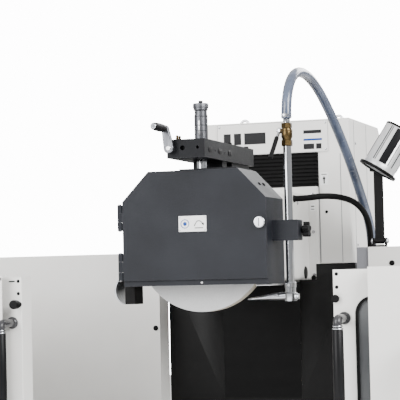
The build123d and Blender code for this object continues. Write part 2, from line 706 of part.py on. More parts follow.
with BuildPart(at_wheel) as clamp_knob:
    rod((clamp_right - 13, pipe_y + 13, 28), (1, 0, 0), 4, 20)
    rod((clamp_right + 1, pipe_y + 13, 28), (1, 0, 0), 9, 6)
    with BuildSketch(Plane(origin=(clamp_right + 6, wheel_y + pipe_y + 13, wheel_z + 28), z_dir=(1, 0, 0))):
        Circle(13)
        with PolarLocations(14, 5):
            Circle(6.5)
    extrude(amount=15)
    fillet(clamp_knob.faces().sort_by(Axis.X)[-1].edges(), 2)
keep(clamp_knob, "clamp_knob")

with BuildPart(at_wheel) as coolant_pipe:
    rod((pipe_x, pipe_y, pipe_bottom), (0, 0, 1), pipe_radius,
        pipe_top - pipe_bottom)
    rod((pipe_x, pipe_y, pipe_bottom), (0, 0, 1), pipe_bore,
        pipe_top - pipe_bottom, mode=Mode.SUBTRACT)
keep(coolant_pipe, "coolant_pipe")

with BuildPart(at_wheel) as valve_body:
    with BuildSketch(level(pipe_top - 8)):
        with Locations((pipe_x, pipe_y)):
            RegularPolygon(14.5, 6)
            Circle(pipe_radius, mode=Mode.SUBTRACT)
    extrude(amount=16)
    rod((pipe_x, pipe_y, pipe_top + 8), (0, 0, 1), 12.5, valve_top - pipe_top - 18)
    with BuildSketch(level(valve_top - 10)):
        with Locations((pipe_x, pipe_y)):
            RegularPolygon(14, 6)
    extrude(amount=12)
    rod((pipe_x, pipe_y, valve_top), (0, 0, 1), 10, hose_start - valve_top)
    rod((pipe_x, pipe_y, lever_axis_z), (-1, 0, 0), 6, 16)
    slab((pipe_x - 21, pipe_x - 13), (pipe_y - 4, pipe_y + 4), (lever_axis_z - 4, lever_axis_z + 4))
    rod((pipe_x, pipe_y, pipe_top - 9), (0, 0, 1), pipe_bore, 70, mode=Mode.SUBTRACT)
keep(valve_body, "valve_body")

# Lever on the valve's left side; it hangs down and leans to the front.
lever_tilt = 39.0
lever_plane = Plane(origin=(pipe_x - 21.3, wheel_y + pipe_y, wheel_z + lever_axis_z),
                    x_dir=(0, -sin(radians(lever_tilt)), -cos(radians(lever_tilt))), z_dir=(-1, 0, 0))
with BuildPart() as valve_lever:
    with BuildSketch(lever_plane):
        Circle(9)
        with Locations((48, 0)):
            Rectangle(92, 11)
        with Locations((92, 0)):
            Circle(6)
    extrude(amount=3)
    rod((pipe_x - 24.3, wheel_y + pipe_y, wheel_z + lever_axis_z), (-1, 0, 0), 5, 4)
keep(valve_lever, "valve_lever")

# Nozzle: a collar that turns on the pipe's foot, an elbow and a flat mouth aimed at the rim.
collar_top = pipe_bottom + 20
nozzle_z = pipe_bottom - 17
mouth_x = pipe_x - 111
with BuildPart(at_wheel) as nozzle:
    rod((pipe_x, pipe_y, nozzle_z - 8), (0, 0, 1), 15, collar_top - nozzle_z + 8)
    rod((pipe_x, pipe_y, nozzle_z - 8), (0, 0, 1), pipe_radius + fit,
        collar_top - nozzle_z + 9, mode=Mode.SUBTRACT)
    rod((pipe_x, pipe_y, nozzle_z - 11), (0, 0, 1), 15, 9)
    rod((pipe_x + 11, pipe_y, nozzle_z), (1, 0, 0), 9, 10)
    with BuildSketch(Plane(origin=(pipe_x - 12, wheel_y + pipe_y, wheel_z + nozzle_z + 2), z_dir=(-1, 0, 0))):
        Circle(10)
    with BuildSketch(Plane(origin=(mouth_x, wheel_y + pipe_y, wheel_z + nozzle_z - 9), z_dir=(-1, 0, 0))):
        Ellipse(2.5, 17)
    loft()
keep(nozzle, "nozzle")


def along_route(points, diameter):
    """Tube of straight runs and tangent arcs through the route, and its arc radii."""
    places = [Vector(x, wheel_y + y, wheel_z + z) for x, y, z in points]
    radii = []
    for a, b, c in zip(places, places[1:], places[2:]):
        turn = (b - a).get_angle(c - b)
        shorter = min((b - a).length, (c - b).length)
        radii.append(0.45 * shorter / tan(radians(turn / 2)))
    with BuildPart() as tube:
        with BuildLine() as path:
            FilletPolyline(*places, radius=radii)
        with BuildSketch(Plane(origin=places[0], z_dir=places[1] - places[0])):
            Circle(diameter / 2)
        sweep()
    length = sum(edge.length for edge in path.edges())
    section = pi * diameter**2 / 4
    print("tube radii", [round(r) for r in radii], "length", round(length, 1),
          "volume ratio", round(tube.part.volume / (section * length), 5))
    return tube


coolant_hose = along_route(hose_route, hose_diameter)
keep(coolant_hose, "coolant_hose")
power_cable = along_route(cable_route, cable_diameter)
keep(power_cable, "power_cable")

hose_end = hose_route[-1]
cable_end = cable_route[-1]
with BuildPart(at_wheel) as hose_bracket:
    slab((cover_half, 322), (600, 675), (hose_end[2] - 17, hose_end[2] - 9))
    slab((cover_half, cover_half + 6), (666, 720), (hose_end[2] - 70, hose_end[2] - 9))
    slab((cover_half, cover_half + 80), (666, 675), (hose_end[2] - 70, hose_end[2] - 9))
    rod((hose_end[0], hose_end[1], hose_end[2] - 10), (0, 0, 1), 17, 10)
    rod((cable_end[0], cable_end[1], cable_end[2] - 10), (0, 0, 1), 11, 10)
keep(hose_bracket, "hose_bracket")

# ================= enclosure =================
tray_half = enclosure_width / 2 - sheet
tray_front = wheel_y + panel_front + sheet
tray_rear = wheel_y + back_panel_y
tray_bottom = bed_top - 28
track_bottom = door_foot - 22
track_rear = wheel_y + door_y + door_depth + 6
with BuildPart() as splash_tray:
    slab((-tray_half, tray_half), (tray_front, tray_rear), (tray_bottom, bed_top + 10))
    slab((-tray_half + sheet, tray_half - sheet), (tray_front + sheet, tray_rear - sheet),
         (tray_bottom + sheet, bed_top + 11), mode=Mode.SUBTRACT)
    # the front rim stays under the door track
    slab((-tray_half - 1, tray_half + 1), (tray_front - 1, track_rear + gap), (track_bottom - gap, bed_top + 11),
         mode=Mode.SUBTRACT)
    slab((-bed_half, bed_half), (bed_front, bed_split), (tray_bottom - 1, bed_top + 11), mode=Mode.SUBTRACT)
    slab((-rear_half, rear_half), (bed_split - 5, tray_rear - sheet), (tray_bottom - 1, tray_bottom + 8),
         mode=Mode.SUBTRACT)
keep(splash_tray, "splash_tray")

enclosure_half = enclosure_width / 2
panel_foot = bed_top - 28 - wheel_z
return_depth = 76.0
with BuildPart(at_wheel) as back_panels:
    for x0, x1, inner in ((-enclosure_half, -back_panel_edge, 1), (right_panel_edge, enclosure_half, -1)):
        slab((x0, x1), (back_panel_y, back_panel_y + sheet), (panel_foot, back_panel_top))
        slab((x0, x1), (back_panel_y, back_panel_y + 62), (back_panel_top - sheet, back_panel_top))
        edge = x1 if inner > 0 else x0
        depth = return_depth if inner > 0 else 62
        slab((min(edge, edge - inner * sheet), max(edge, edge - inner * sheet)),
             (back_panel_y, back_panel_y + depth), (panel_foot, back_panel_top))
    rod((-294, back_panel_y, -228), (0, 1, 0), 5, sheet, mode=Mode.SUBTRACT)
    rod((400, back_panel_y, -58), (0, 1, 0), 6, sheet, mode=Mode.SUBTRACT)
keep(back_panels, "back_panels")

with BuildPart(at_wheel) as seal_post:
    slab((post_left, right_panel_edge), (back_panel_y + 6, back_panel_y + 52), (panel_foot, back_panel_top))
    slab((post_left + sheet, right_panel_edge + 1), (back_panel_y + 6 + sheet, back_panel_y + 53),
         (panel_foot - 1, back_panel_top - sheet), mode=Mode.SUBTRACT)
keep(seal_post, "seal_post")

with BuildPart(at_wheel) as enclosure_panels:
    for s in (-1, 1):
        x = s * (enclosure_half - sheet / 2)
        with BuildSketch(Plane(origin=(x - sheet / 2, wheel_y, wheel_z), x_dir=(0, 1, 0), z_dir=(1, 0, 0))):
            with BuildLine():
                Polyline((panel_front + sheet, 120 - wheel_z), (panel_front + sheet, panel_top),
                         (panel_front + 120, panel_top), (panel_front + 200, back_panel_top),
                         (back_panel_y, back_panel_top), (back_panel_y, 120 - wheel_z), close=True)
            make_face()
        extrude(amount=sheet)
    for x0, x1 in ((-enclosure_half, left_front_edge), (right_front_edge, enclosure_half)):
        slab((x0, x1), (panel_front, panel_front + sheet), (door_foot - wheel_z, panel_top))
        slab((x0, x1), (panel_front, panel_front + 24), (panel_top - sheet, panel_top))
keep(enclosure_panels, "enclosure_panels")

with BuildPart(at_wheel) as lower_front_panel:
    slab((-enclosure_half, enclosure_half), (panel_front, panel_front + sheet),
         (120 - wheel_z, door_foot - wheel_z))
    slab((-enclosure_half + sheet, enclosure_half - sheet), (panel_front, panel_front + 60),
         (120 - wheel_z, 120 + sheet - wheel_z))
    # track that the two doors run on
    slab((-enclosure_half + 4, enclosure_half - 4), (panel_front + sheet, door_y + door_depth + 6),
         (door_foot - 22 - wheel_z, door_foot - gap - wheel_z))
    slab((-enclosure_half + 4, enclosure_half - 4), (door_y + 24, door_y + 34),
         (door_foot - gap - wheel_z, door_foot + 9 - wheel_z))
keep(lower_front_panel, "lower_front_panel")


def sliding_door(side, s):
    """Door, window and handle on one side; s is -1 on the left and 1 on the right."""
    low = door_foot - wheel_z
    near = min(s * door_edge, s * (door_edge + door_length))
    far = max(s * door_edge, s * (door_edge + door_length))
    window_x = s * (door_edge + window_margin + window_width / 2)
    window_z = (door_top - window_drop + low + 70) / 2
    window_height = door_top - window_drop - low - 70
    with BuildPart(at_wheel) as door:
        slab((near, far), (door_y, door_y + door_depth), (low, door_top))
        fillet(door.edges().filter_by(Axis.Z), 2)
        slab((near + sheet, far - sheet), (door_y + sheet, door_y + door_depth + 1),
             (low + sheet, door_top - sheet), mode=Mode.SUBTRACT)
        # groove in the door's foot that straddles the track's rib
        slab((near - 1, far + 1), (door_y + 23, door_y + 35), (low - 1, low + sheet + 1), mode=Mode.SUBTRACT)
        slab((near - 1, far + 1), (door_y + 23, door_y + 35), (low - 1, low + 12), mode=Mode.SUBTRACT)
        with BuildSketch(facing(door_y)):
            with Locations((window_x, window_z)):
                RectangleRounded(window_width, window_height, 40)
        extrude(amount=-sheet, mode=Mode.SUBTRACT)
        for z in (-86, -117):
            rod((s * 411, door_y, z), (0, 1, 0), 4.5, sheet, mode=Mode.SUBTRACT)
    keep(door, f"{side}_door")
    with BuildPart(at_wheel) as window:
        slab((window_x - window_width / 2 - 15, window_x + window_width / 2 + 15), (door_y + sheet, door_y + sheet + 5),
             (window_z - window_height / 2 - 15, window_z + window_height / 2 + 15))
    keep(window, f"{side}_window")
    front = wheel_y + door_y
    with BuildPart() as handle:
        x = s * handle_x
        with BuildLine():
            FilletPolyline((x, front, wheel_z + handle_high), (x, front - handle_reach, wheel_z + handle_high),
                           (x, front - handle_reach, wheel_z + handle_low), (x, front, wheel_z + handle_low),
                           radius=26)
        with BuildSketch(Plane(origin=(x, front, wheel_z + handle_high), z_dir=(0, -1, 0))):
            Circle(10)
        sweep()
        for z in (handle_high, handle_low):
            rod((x, front, wheel_z + z), (0, -1, 0), 15, 5)
        rod((x, front - handle_reach, wheel_z + handle_low + 27), (0, 0, 1), grip_sleeve,
            handle_high - handle_low - 54)
        # stop knob near the door's edge, longer on the left door
        rod((s * 409, front, wheel_z - 144), (0, -1, 0), 10.5 - s, 24 - s * 14)
    keep(handle, f"{side}_handle")


sliding_door("left", -1)
sliding_door("right", 1)

# ================= work lamp =================
lamp_x = 358.0
lamp_y = 475.0
lamp_pivot_z = 4.0
lamp_top_z = 205.0
lamp_lean = 31.0
with BuildPart(at_wheel) as lamp_base:
    slab((lamp_x - 17, lamp_x + 17), (lamp_y - 14, lamp_y + 14), (back_panel_top, back_panel_top + 5))
    for s in (-1, 1):
        slab((lamp_x + s * 17 - 2, lamp_x + s * 17 + 2), (lamp_y - 9, lamp_y + 9), (back_panel_top, 13))
    rod((lamp_x - 22, lamp_y, lamp_pivot_z), (1, 0, 0), 3, 44)
    for s in (-1, 1):
        rod((lamp_x + s * 19, lamp_y, lamp_pivot_z), (s, 0, 0), 6, 5)
keep(lamp_base, "lamp_base")

with BuildPart(at_wheel) as lamp_arm:
    slab((lamp_x - 13, lamp_x + 13), (lamp_y - 3, lamp_y + 3), (lamp_pivot_z, lamp_top_z))
    for z in (lamp_pivot_z, lamp_top_z):
        rod((lamp_x - 13, lamp_y, z), (1, 0, 0), 7, 26)
    rod((lamp_x - 13, lamp_y, lamp_pivot_z), (1, 0, 0), 3 + fit, 26, mode=Mode.SUBTRACT)
    rod((lamp_x - 13, lamp_y, lamp_top_z), (1, 0, 0), 3 + fit, 26, mode=Mode.SUBTRACT)
keep(lamp_arm, "lamp_arm")

rim_centre = (lamp_x + 11, wheel_y + lamp_y - 65, wheel_z + 194)
lamp_axis = (sin(radians(lamp_lean)), 0, cos(radians(lamp_lean)))
lamp_plane = Plane(origin=rim_centre, z_dir=lamp_axis)
lamp_length = 160.0
lens_start = lamp_plane.origin + 3 * lamp_plane.z_dir
with BuildPart() as lamp_head:
    rod(rim_centre, lamp_axis, 46, lamp_length)
    rod(rim_centre, lamp_axis, 55, 8)
    rod(rim_centre, lamp_axis, 42, 30, mode=Mode.SUBTRACT)
    # fork that carries the lamp on the arm's top pin
    pin_y = wheel_y + lamp_y
    pin_z = wheel_z + lamp_top_z
    for x0, x1 in ((lamp_x - 18, lamp_x - 13.3), (lamp_x + 13.3, lamp_x + 18)):
        slab((x0, x1), (pin_y - 30, pin_y + 7), (pin_z - 8, pin_z + 8))
    rod((lamp_x - 18, pin_y, pin_z), (1, 0, 0), 3, 36)
    # front glass, a separate piece in the lamp's mouth
    rod(lens_start, lamp_axis, 41.9, 4)
keep(lamp_head, "lamp_head")


# ================= control panel =================
panel_x = 760.0
panel_z = -420.0
with BuildPart(at_wheel) as control_panel:
    slab((panel_x - 160, panel_x + 160), (panel_front - 90, panel_front), (panel_z - 190, panel_z + 190))
    fillet(control_panel.edges().filter_by(Axis.Y), 12)
    chamfer(control_panel.faces().sort_by(Axis.Y)[0].edges(), 3)
    slab((panel_x - 110, panel_x + 110), (panel_front - 92, panel_front - 86), (panel_z + 10, panel_z + 150),
         mode=Mode.SUBTRACT)
    rod((panel_x + 100, panel_front - 90, panel_z - 120), (0, 1, 0), 8 + fit, 30,
        mode=Mode.SUBTRACT)
keep(control_panel, "control_panel")

with BuildPart(at_wheel) as emergency_stop:
    rod((panel_x + 100, panel_front - 66, panel_z - 120), (0, -1, 0), 8, 34)
    rod((panel_x + 100, panel_front - 98, panel_z - 120), (0, -1, 0), 20, 14)
    fillet(emergency_stop.edges().sort_by(Axis.Y)[0], 4)
keep(emergency_stop, "emergency_stop")
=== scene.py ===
import math

import bpy
from mathutils import Matrix, Vector


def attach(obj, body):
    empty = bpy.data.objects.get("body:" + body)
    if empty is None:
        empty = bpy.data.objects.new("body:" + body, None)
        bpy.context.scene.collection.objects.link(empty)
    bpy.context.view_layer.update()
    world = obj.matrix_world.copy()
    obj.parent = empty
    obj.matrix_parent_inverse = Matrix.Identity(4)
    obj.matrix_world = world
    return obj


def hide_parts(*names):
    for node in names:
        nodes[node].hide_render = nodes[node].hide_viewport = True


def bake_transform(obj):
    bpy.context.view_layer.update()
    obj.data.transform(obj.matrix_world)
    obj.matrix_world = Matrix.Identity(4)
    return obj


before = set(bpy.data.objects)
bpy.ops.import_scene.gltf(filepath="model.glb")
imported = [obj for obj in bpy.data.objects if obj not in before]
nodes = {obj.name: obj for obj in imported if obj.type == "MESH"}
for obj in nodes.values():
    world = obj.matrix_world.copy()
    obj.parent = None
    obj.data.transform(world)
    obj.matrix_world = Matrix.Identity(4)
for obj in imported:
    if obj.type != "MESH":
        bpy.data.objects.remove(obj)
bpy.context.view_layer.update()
print("frame loaded")

# Metres. The wheel's centre is the point that most places below are counted from.
wheelCentre = Vector((0.0, -0.540, 1.560))


def fromWheel(x, y, z):
    return wheelCentre + Vector((x, y, z)) / 1000.0      # millimetres in, metres out


def pickOnly(piece):
    bpy.ops.object.select_all(action="DESELECT")
    piece.select_set(True)
    bpy.context.view_layer.objects.active = piece


def smoothLine(name, route, resolution):
    # a smooth curve along places in millimetres from the wheel
    data = bpy.data.curves.new(name, "CURVE")
    data.dimensions = "3D"
    data.resolution_u = resolution
    spline = data.splines.new("NURBS")
    spline.points.add(len(route) - 1)
    for place, point in zip(route, spline.points):
        point.co = (*fromWheel(*place), 1.0)
    spline.order_u = 3
    spline.use_endpoint_u = True
    line = bpy.data.objects.new(name, data)
    bpy.context.collection.objects.link(line)
    return line


def thickenLine(line, radius, resolution):
    # gives the curve a round section, in metres, and makes it a mesh
    line.data.bevel_depth = radius
    line.data.bevel_resolution = resolution
    line.data.use_fill_caps = True
    pickOnly(line)
    bpy.ops.object.convert(target="MESH")
    return bpy.context.object


# camera
cameraSettings = {
    "lens": 150.70,
    "sensor": 36.0,
    "place": (1.36937, -4.63632, 1.46737),
    "yaw": 18.58,
    "tilt": 2.73,
    "roll": 1.29,
}


def addCamera(settings):
    yaw, tilt, roll = (math.radians(settings[k]) for k in ("yaw", "tilt", "roll"))
    ahead = Vector((-math.sin(yaw) * math.cos(tilt), math.cos(yaw) * math.cos(tilt), math.sin(tilt)))
    right = Vector((math.cos(yaw), math.sin(yaw), 0.0))
    upward = right.cross(ahead)
    data = bpy.data.cameras.new("camera")
    data.lens = settings["lens"]
    data.sensor_width = settings["sensor"]
    data.clip_start = 0.1
    data.clip_end = 60.0
    camera = bpy.data.objects.new("camera", data)
    bpy.context.collection.objects.link(camera)
    x = right * math.cos(roll) - upward * math.sin(roll)
    y = right * math.sin(roll) + upward * math.cos(roll)
    turn = Matrix((x, y, -ahead)).transposed().to_4x4()
    camera.matrix_world = Matrix.Translation(settings["place"]) @ turn
    bpy.context.scene.camera = camera


addCamera(cameraSettings)

# hose and cable
hoseSettings = {
    "route": [(232, -10, 312), (232, -10, 350), (233, 23, 409), (235, 86, 443), (239, 172, 444),
              (246, 255, 417), (256, 335, 364), (266, 405, 304), (276, 468, 240), (285, 528, 170),
              (292, 580, 108), (296, 624, 55), (295, 650, 6), (295, 650, -45)],
    "diameter": 0.026,
    "length": 0.974,
}
cableSettings = {
    "route": [(128, 420, 128), (166, 420, 128), (208, 436, 134), (248, 466, 131), (280, 500, 119),
              (298, 536, 95), (306, 570, 60), (304, 600, 19), (297, 618, -14), (297, 618, -45)],
    "diameter": 0.017,
    "length": 0.395,
}


def addCord(name, settings):
    line = smoothLine(name, settings["route"], 12)
    bare = bpy.data.meshes.new_from_object(line)      # the spline, before it has a thickness
    path = [vertex.co.copy() for vertex in bare.vertices]
    cord = thickenLine(line, settings["diameter"] / 2, 6)
    bpy.ops.object.shade_smooth()
    return cord, path


coolantHose, hosePath = addCord("coolantHoseTube", hoseSettings)
powerCable, cablePath = addCord("powerCableTube", cableSettings)
print("camera and cords made")


# shader node groups
def newGroup(name, inputs, outputs):
    group = bpy.data.node_groups.new(name, "ShaderNodeTree")
    for label, kind, value in inputs:
        socket = group.interface.new_socket(label, in_out="INPUT", socket_type=kind)
        if value is not None:
            socket.default_value = value
    for label, kind in outputs:
        group.interface.new_socket(label, in_out="OUTPUT", socket_type=kind)
    source = group.nodes.new("NodeGroupInput")
    target = group.nodes.new("NodeGroupOutput")
    return group, source, target


def addNode(tree, kind, settings=None, links=None):
    node = tree.nodes.new(kind)
    for key, value in (settings or {}).items():
        setattr(node, key, value)
    for key, value in (links or {}).items():
        if isinstance(value, bpy.types.NodeSocket):
            tree.links.new(value, node.inputs[key])
        else:
            node.inputs[key].default_value = value
    return node


def mathNode(tree, operation, first, second=None, third=None):
    links = {0: first}
    if second is not None:
        links[1] = second
    if third is not None:
        links[2] = third
    return addNode(tree, "ShaderNodeMath", {"operation": operation}, links).outputs[0]


def smoothRange(tree, value, low, high, outLow=0.0, outHigh=1.0):
    return addNode(tree, "ShaderNodeMapRange", {"interpolation_type": "SMOOTHSTEP"},
                   {0: value, 1: low, 2: high, 3: outLow, 4: outHigh}).outputs[0]


# Edge wear: where the rounded normal leaves the true one, broken up by noise.
edgeWear, source, target = newGroup(
    "edgeWear",
    [("Vector", "NodeSocketVector", None), ("Radius", "NodeSocketFloat", 0.0015),
     ("Amount", "NodeSocketFloat", 0.5), ("Breakup", "NodeSocketFloat", 60.0)],
    [("Mask", "NodeSocketFloat")])
bevelNode = addNode(edgeWear, "ShaderNodeBevel", {"samples": 4}, {"Radius": source.outputs["Radius"]})
geometryNode = addNode(edgeWear, "ShaderNodeNewGeometry")
likeness = addNode(edgeWear, "ShaderNodeVectorMath", {"operation": "DOT_PRODUCT"},
                   {0: bevelNode.outputs[0], 1: geometryNode.outputs["Normal"]}).outputs["Value"]
bend = mathNode(edgeWear, "SUBTRACT", 1.0, likeness)
breakup = addNode(edgeWear, "ShaderNodeTexNoise", {"noise_dimensions": "3D"},
                  {"Vector": source.outputs["Vector"], "Scale": source.outputs["Breakup"], "Detail": 4.0})
threshold = mathNode(edgeWear, "MULTIPLY", bend, mathNode(edgeWear, "MULTIPLY", breakup.outputs["Fac"], 6.0))
wear = smoothRange(edgeWear, threshold, 0.10, 0.75)
edgeWear.links.new(mathNode(edgeWear, "MULTIPLY", wear, source.outputs["Amount"]), target.inputs["Mask"])

# Grain: fine texture of a coat or casting, as a height and a slow tone change.
surfaceGrain, source, target = newGroup(
    "surfaceGrain",
    [("Vector", "NodeSocketVector", None), ("Scale", "NodeSocketFloat", 400.0),
     ("Coarse Scale", "NodeSocketFloat", 5.0)],
    [("Height", "NodeSocketFloat"), ("Tone", "NodeSocketFloat")])
fineNoise = addNode(surfaceGrain, "ShaderNodeTexNoise", None,
                    {"Vector": source.outputs["Vector"], "Scale": source.outputs["Scale"], "Detail": 3.0,
                     "Roughness": 0.6})
slowNoise = addNode(surfaceGrain, "ShaderNodeTexNoise", None,
                    {"Vector": source.outputs["Vector"], "Scale": source.outputs["Coarse Scale"],
                     "Detail": 5.0, "Roughness": 0.55})
surfaceGrain.links.new(fineNoise.outputs["Fac"], target.inputs["Height"])
surfaceGrain.links.new(smoothRange(surfaceGrain, slowNoise.outputs["Fac"], 0.3, 0.7), target.inputs["Tone"])

# Brushing: long fine scratches along one direction, set by how far each axis is stretched.
brushedLines, source, target = newGroup(
    "brushedLines",
    [("Vector", "NodeSocketVector", None), ("Stretch", "NodeSocketVector", (1.0, 1.0, 1.0)),
     ("Scale", "NodeSocketFloat", 60.0)],
    [("Height", "NodeSocketFloat"), ("Streaks", "NodeSocketFloat")])
stretched = addNode(brushedLines, "ShaderNodeVectorMath", {"operation": "MULTIPLY"},
                    {0: source.outputs["Vector"], 1: source.outputs["Stretch"]}).outputs[0]
lines = addNode(brushedLines, "ShaderNodeTexNoise", None,
                {"Vector": stretched, "Scale": source.outputs["Scale"], "Detail": 6.0, "Roughness": 0.7})
broadScale = mathNode(brushedLines, "MULTIPLY", source.outputs["Scale"], 0.15)
broadLines = addNode(brushedLines, "ShaderNodeTexNoise", None,
                     {"Vector": stretched, "Scale": broadScale, "Detail": 3.0})
brushedLines.links.new(lines.outputs["Fac"], target.inputs["Height"])
brushedLines.links.new(smoothRange(brushedLines, broadLines.outputs["Fac"], 0.35, 0.65),
                       target.inputs["Streaks"])

# Dust: settles on upward faces and in patches.
dustCover, source, target = newGroup(
    "dustCover",
    [("Vector", "NodeSocketVector", None), ("Amount", "NodeSocketFloat", 0.3),
     ("Scale", "NodeSocketFloat", 9.0)],
    [("Mask", "NodeSocketFloat")])
facing = addNode(dustCover, "ShaderNodeSeparateXYZ", None,
                 {0: addNode(dustCover, "ShaderNodeNewGeometry").outputs["Normal"]}).outputs["Z"]
upFace = smoothRange(dustCover, facing, 0.15, 0.95, 0.10, 1.0)
patches = addNode(dustCover, "ShaderNodeTexNoise", None,
                  {"Vector": source.outputs["Vector"], "Scale": source.outputs["Scale"], "Detail": 7.0,
                   "Roughness": 0.65})
patchMask = smoothRange(dustCover, patches.outputs["Fac"], 0.42, 0.72)
dustCover.links.new(mathNode(dustCover, "MULTIPLY", mathNode(dustCover, "MULTIPLY", upFace, patchMask),
                             source.outputs["Amount"]), target.inputs["Mask"])
print("node groups made")


# materials
def startMaterial(name, settings):
    material = bpy.data.materials.new(name)
    material.use_nodes = True
    tree = material.node_tree
    shader = tree.nodes["Principled BSDF"]
    for key, value in settings.get("shader", {}).items():
        shader.inputs[key].default_value = value
    place = addNode(tree, "ShaderNodeTexCoord").outputs["Object"]
    return material, tree, shader, place


def useGroup(tree, group, links):
    return addNode(tree, "ShaderNodeGroup", {"node_tree": group}, links)


def mixColour(tree, mask, first, second, blend="MIX"):
    node = addNode(tree, "ShaderNodeMix", {"data_type": "RGBA", "blend_type": blend})
    for index, value in ((0, mask), (6, first), (7, second)):
        if isinstance(value, bpy.types.NodeSocket):
            tree.links.new(value, node.inputs[index])
        else:
            node.inputs[index].default_value = (*value, 1.0) if isinstance(value, tuple) else value
    return node.outputs[2]


def addBump(tree, shader, height, strength, distance):
    bump = addNode(tree, "ShaderNodeBump", None,
                   {"Strength": strength, "Distance": distance, "Height": height})
    tree.links.new(bump.outputs[0], shader.inputs["Normal"])


def addRoughness(tree, shader, rough, mask, share):
    # rougher where the mask is
    more = mathNode(tree, "MULTIPLY", mask, share)
    tree.links.new(mathNode(tree, "ADD", rough, more), shader.inputs["Roughness"])


def paint(name, settings):
    material, tree, shader, place = startMaterial(name, settings)
    grain = useGroup(tree, surfaceGrain, {"Vector": place, "Scale": settings["grain"],
                                          "Coarse Scale": settings.get("coarse", 5.0)})
    wearMask = useGroup(tree, edgeWear, {"Vector": place, "Radius": settings.get("wearRadius", 0.0012),
                                         "Amount": settings["wear"]}).outputs["Mask"]
    dustMask = useGroup(tree, dustCover, {"Vector": place, "Amount": settings["dust"]}).outputs["Mask"]
    colour = mixColour(tree, grain.outputs["Tone"], settings["colour"], settings["colour2"])
    colour = mixColour(tree, dustMask, colour, settings.get("dustColour", (0.42, 0.40, 0.37)))
    colour = mixColour(tree, wearMask, colour, settings["wearColour"])
    tree.links.new(colour, shader.inputs["Base Color"])
    rough = smoothRange(tree, grain.outputs["Tone"], 0.0, 1.0, settings["rough"] - 0.04,
                        settings["rough"] + 0.05)
    addRoughness(tree, shader, rough, dustMask, 0.3)
    addBump(tree, shader, grain.outputs["Height"], settings["bump"], settings.get("bumpDistance", 0.0003))
    return material


def metal(name, settings):
    material, tree, shader, place = startMaterial(name, settings)
    shader.inputs["Metallic"].default_value = settings.get("metallic", 1.0)
    brushed = useGroup(tree, brushedLines, {"Vector": place, "Stretch": settings["stretch"],
                                            "Scale": settings["lines"]})
    dustMask = useGroup(tree, dustCover,
                        {"Vector": place, "Amount": settings.get("dust", 0.1)}).outputs["Mask"]
    colour = mixColour(tree, brushed.outputs["Streaks"], settings["colour"], settings["colour2"])
    colour = mixColour(tree, dustMask, colour, settings.get("dustColour", (0.25, 0.24, 0.22)))
    tree.links.new(colour, shader.inputs["Base Color"])
    rough = smoothRange(tree, brushed.outputs["Height"], 0.3, 0.7, settings["rough"] * 0.8,
                        settings["rough"] * 1.25)
    addRoughness(tree, shader, rough, dustMask, 0.35)
    addBump(tree, shader, brushed.outputs["Height"], settings["bump"], settings.get("bumpDistance", 0.00015))
    return material


casting = paint("castingPaint", {
    "colour": (0.36, 0.37, 0.37), "colour2": (0.30, 0.31, 0.31), "wearColour": (0.16, 0.15, 0.14),
    "grain": 260.0, "rough": 0.45, "wear": 0.5, "dust": 0.5, "bump": 0.5, "bumpDistance": 0.0008})
whitePaint = paint("whitePaint", {
    "colour": (0.70, 0.69, 0.665), "colour2": (0.655, 0.645, 0.62), "wearColour": (0.42, 0.41, 0.39),
    "grain": 900.0, "rough": 0.42, "wear": 0.35, "dust": 0.22, "bump": 0.12})
# grey paint for seams, rim and buttons; on the seal post it is painted shade
greyPaintAndShade = paint("greyPaintAndShade", {
    "colour": (0.16, 0.163, 0.178), "colour2": (0.135, 0.137, 0.15), "wearColour": (0.3, 0.3, 0.3),
    "grain": 900.0, "rough": 0.42, "wear": 0.35, "dust": 0.2, "bump": 0.12})
graphite = paint("graphitePaint", {
    "colour": (0.0100, 0.0112, 0.0148), "colour2": (0.0075, 0.0084, 0.0112), "wearColour": (0.13, 0.13, 0.14),
    "grain": 520.0, "rough": 0.50, "wear": 0.5, "dust": 0.10, "dustColour": (0.05, 0.05, 0.05), "bump": 0.6,
    "bumpDistance": 0.0004, "shader": {"Specular IOR Level": 0.18}})
# the guard's graphite paint made darker for the dresser: painted shade, as the dresser has the same paint as
# the guard
dresserShadedGraphite = paint("dresserShadedGraphite", {
    "colour": (0.0055, 0.006, 0.0075), "colour2": (0.004, 0.0043, 0.0055), "wearColour": (0.10, 0.10, 0.11),
    "grain": 520.0, "rough": 0.46, "wear": 0.6, "dust": 0.10, "dustColour": (0.05, 0.05, 0.05), "bump": 0.5,
    "bumpDistance": 0.0004, "shader": {"Specular IOR Level": 0.13}})
blackSheet = paint("blackSheet", {
    "colour": (0.0030, 0.0030, 0.0031), "colour2": (0.0050, 0.0050, 0.0051), "wearColour": (0.05, 0.05, 0.05),
    "grain": 700.0, "rough": 0.5, "wear": 0.3, "dust": 0.10, "bump": 0.2, "dustColour": (0.035, 0.034, 0.032),
    "shader": {"Specular IOR Level": 0.14}})
motorPaint = paint("motorPaint", {
    "colour": (0.09, 0.11, 0.14), "colour2": (0.075, 0.09, 0.12), "wearColour": (0.2, 0.2, 0.2),
    "grain": 400.0, "rough": 0.45, "wear": 0.4, "dust": 0.4, "bump": 0.3})
bellowsRubber = paint("bellowsRubber", {
    "colour": (0.0030, 0.0030, 0.0031), "colour2": (0.0050, 0.0050, 0.0051), "wearColour": (0.04, 0.04, 0.04),
    "grain": 1500.0, "rough": 0.60, "wear": 0.5, "dust": 0.14, "bump": 0.35,
    "dustColour": (0.035, 0.034, 0.032),
    "shader": {"Specular IOR Level": 0.08}})
blackPlastic = paint("blackPlastic", {
    "colour": (0.004, 0.004, 0.0042), "colour2": (0.006, 0.006, 0.0063), "wearColour": (0.03, 0.03, 0.03),
    "grain": 1100.0, "rough": 0.42, "wear": 0.3, "dust": 0.05, "bump": 0.2, "dustColour": (0.02, 0.02, 0.02),
    "shader": {"Specular IOR Level": 0.07}})
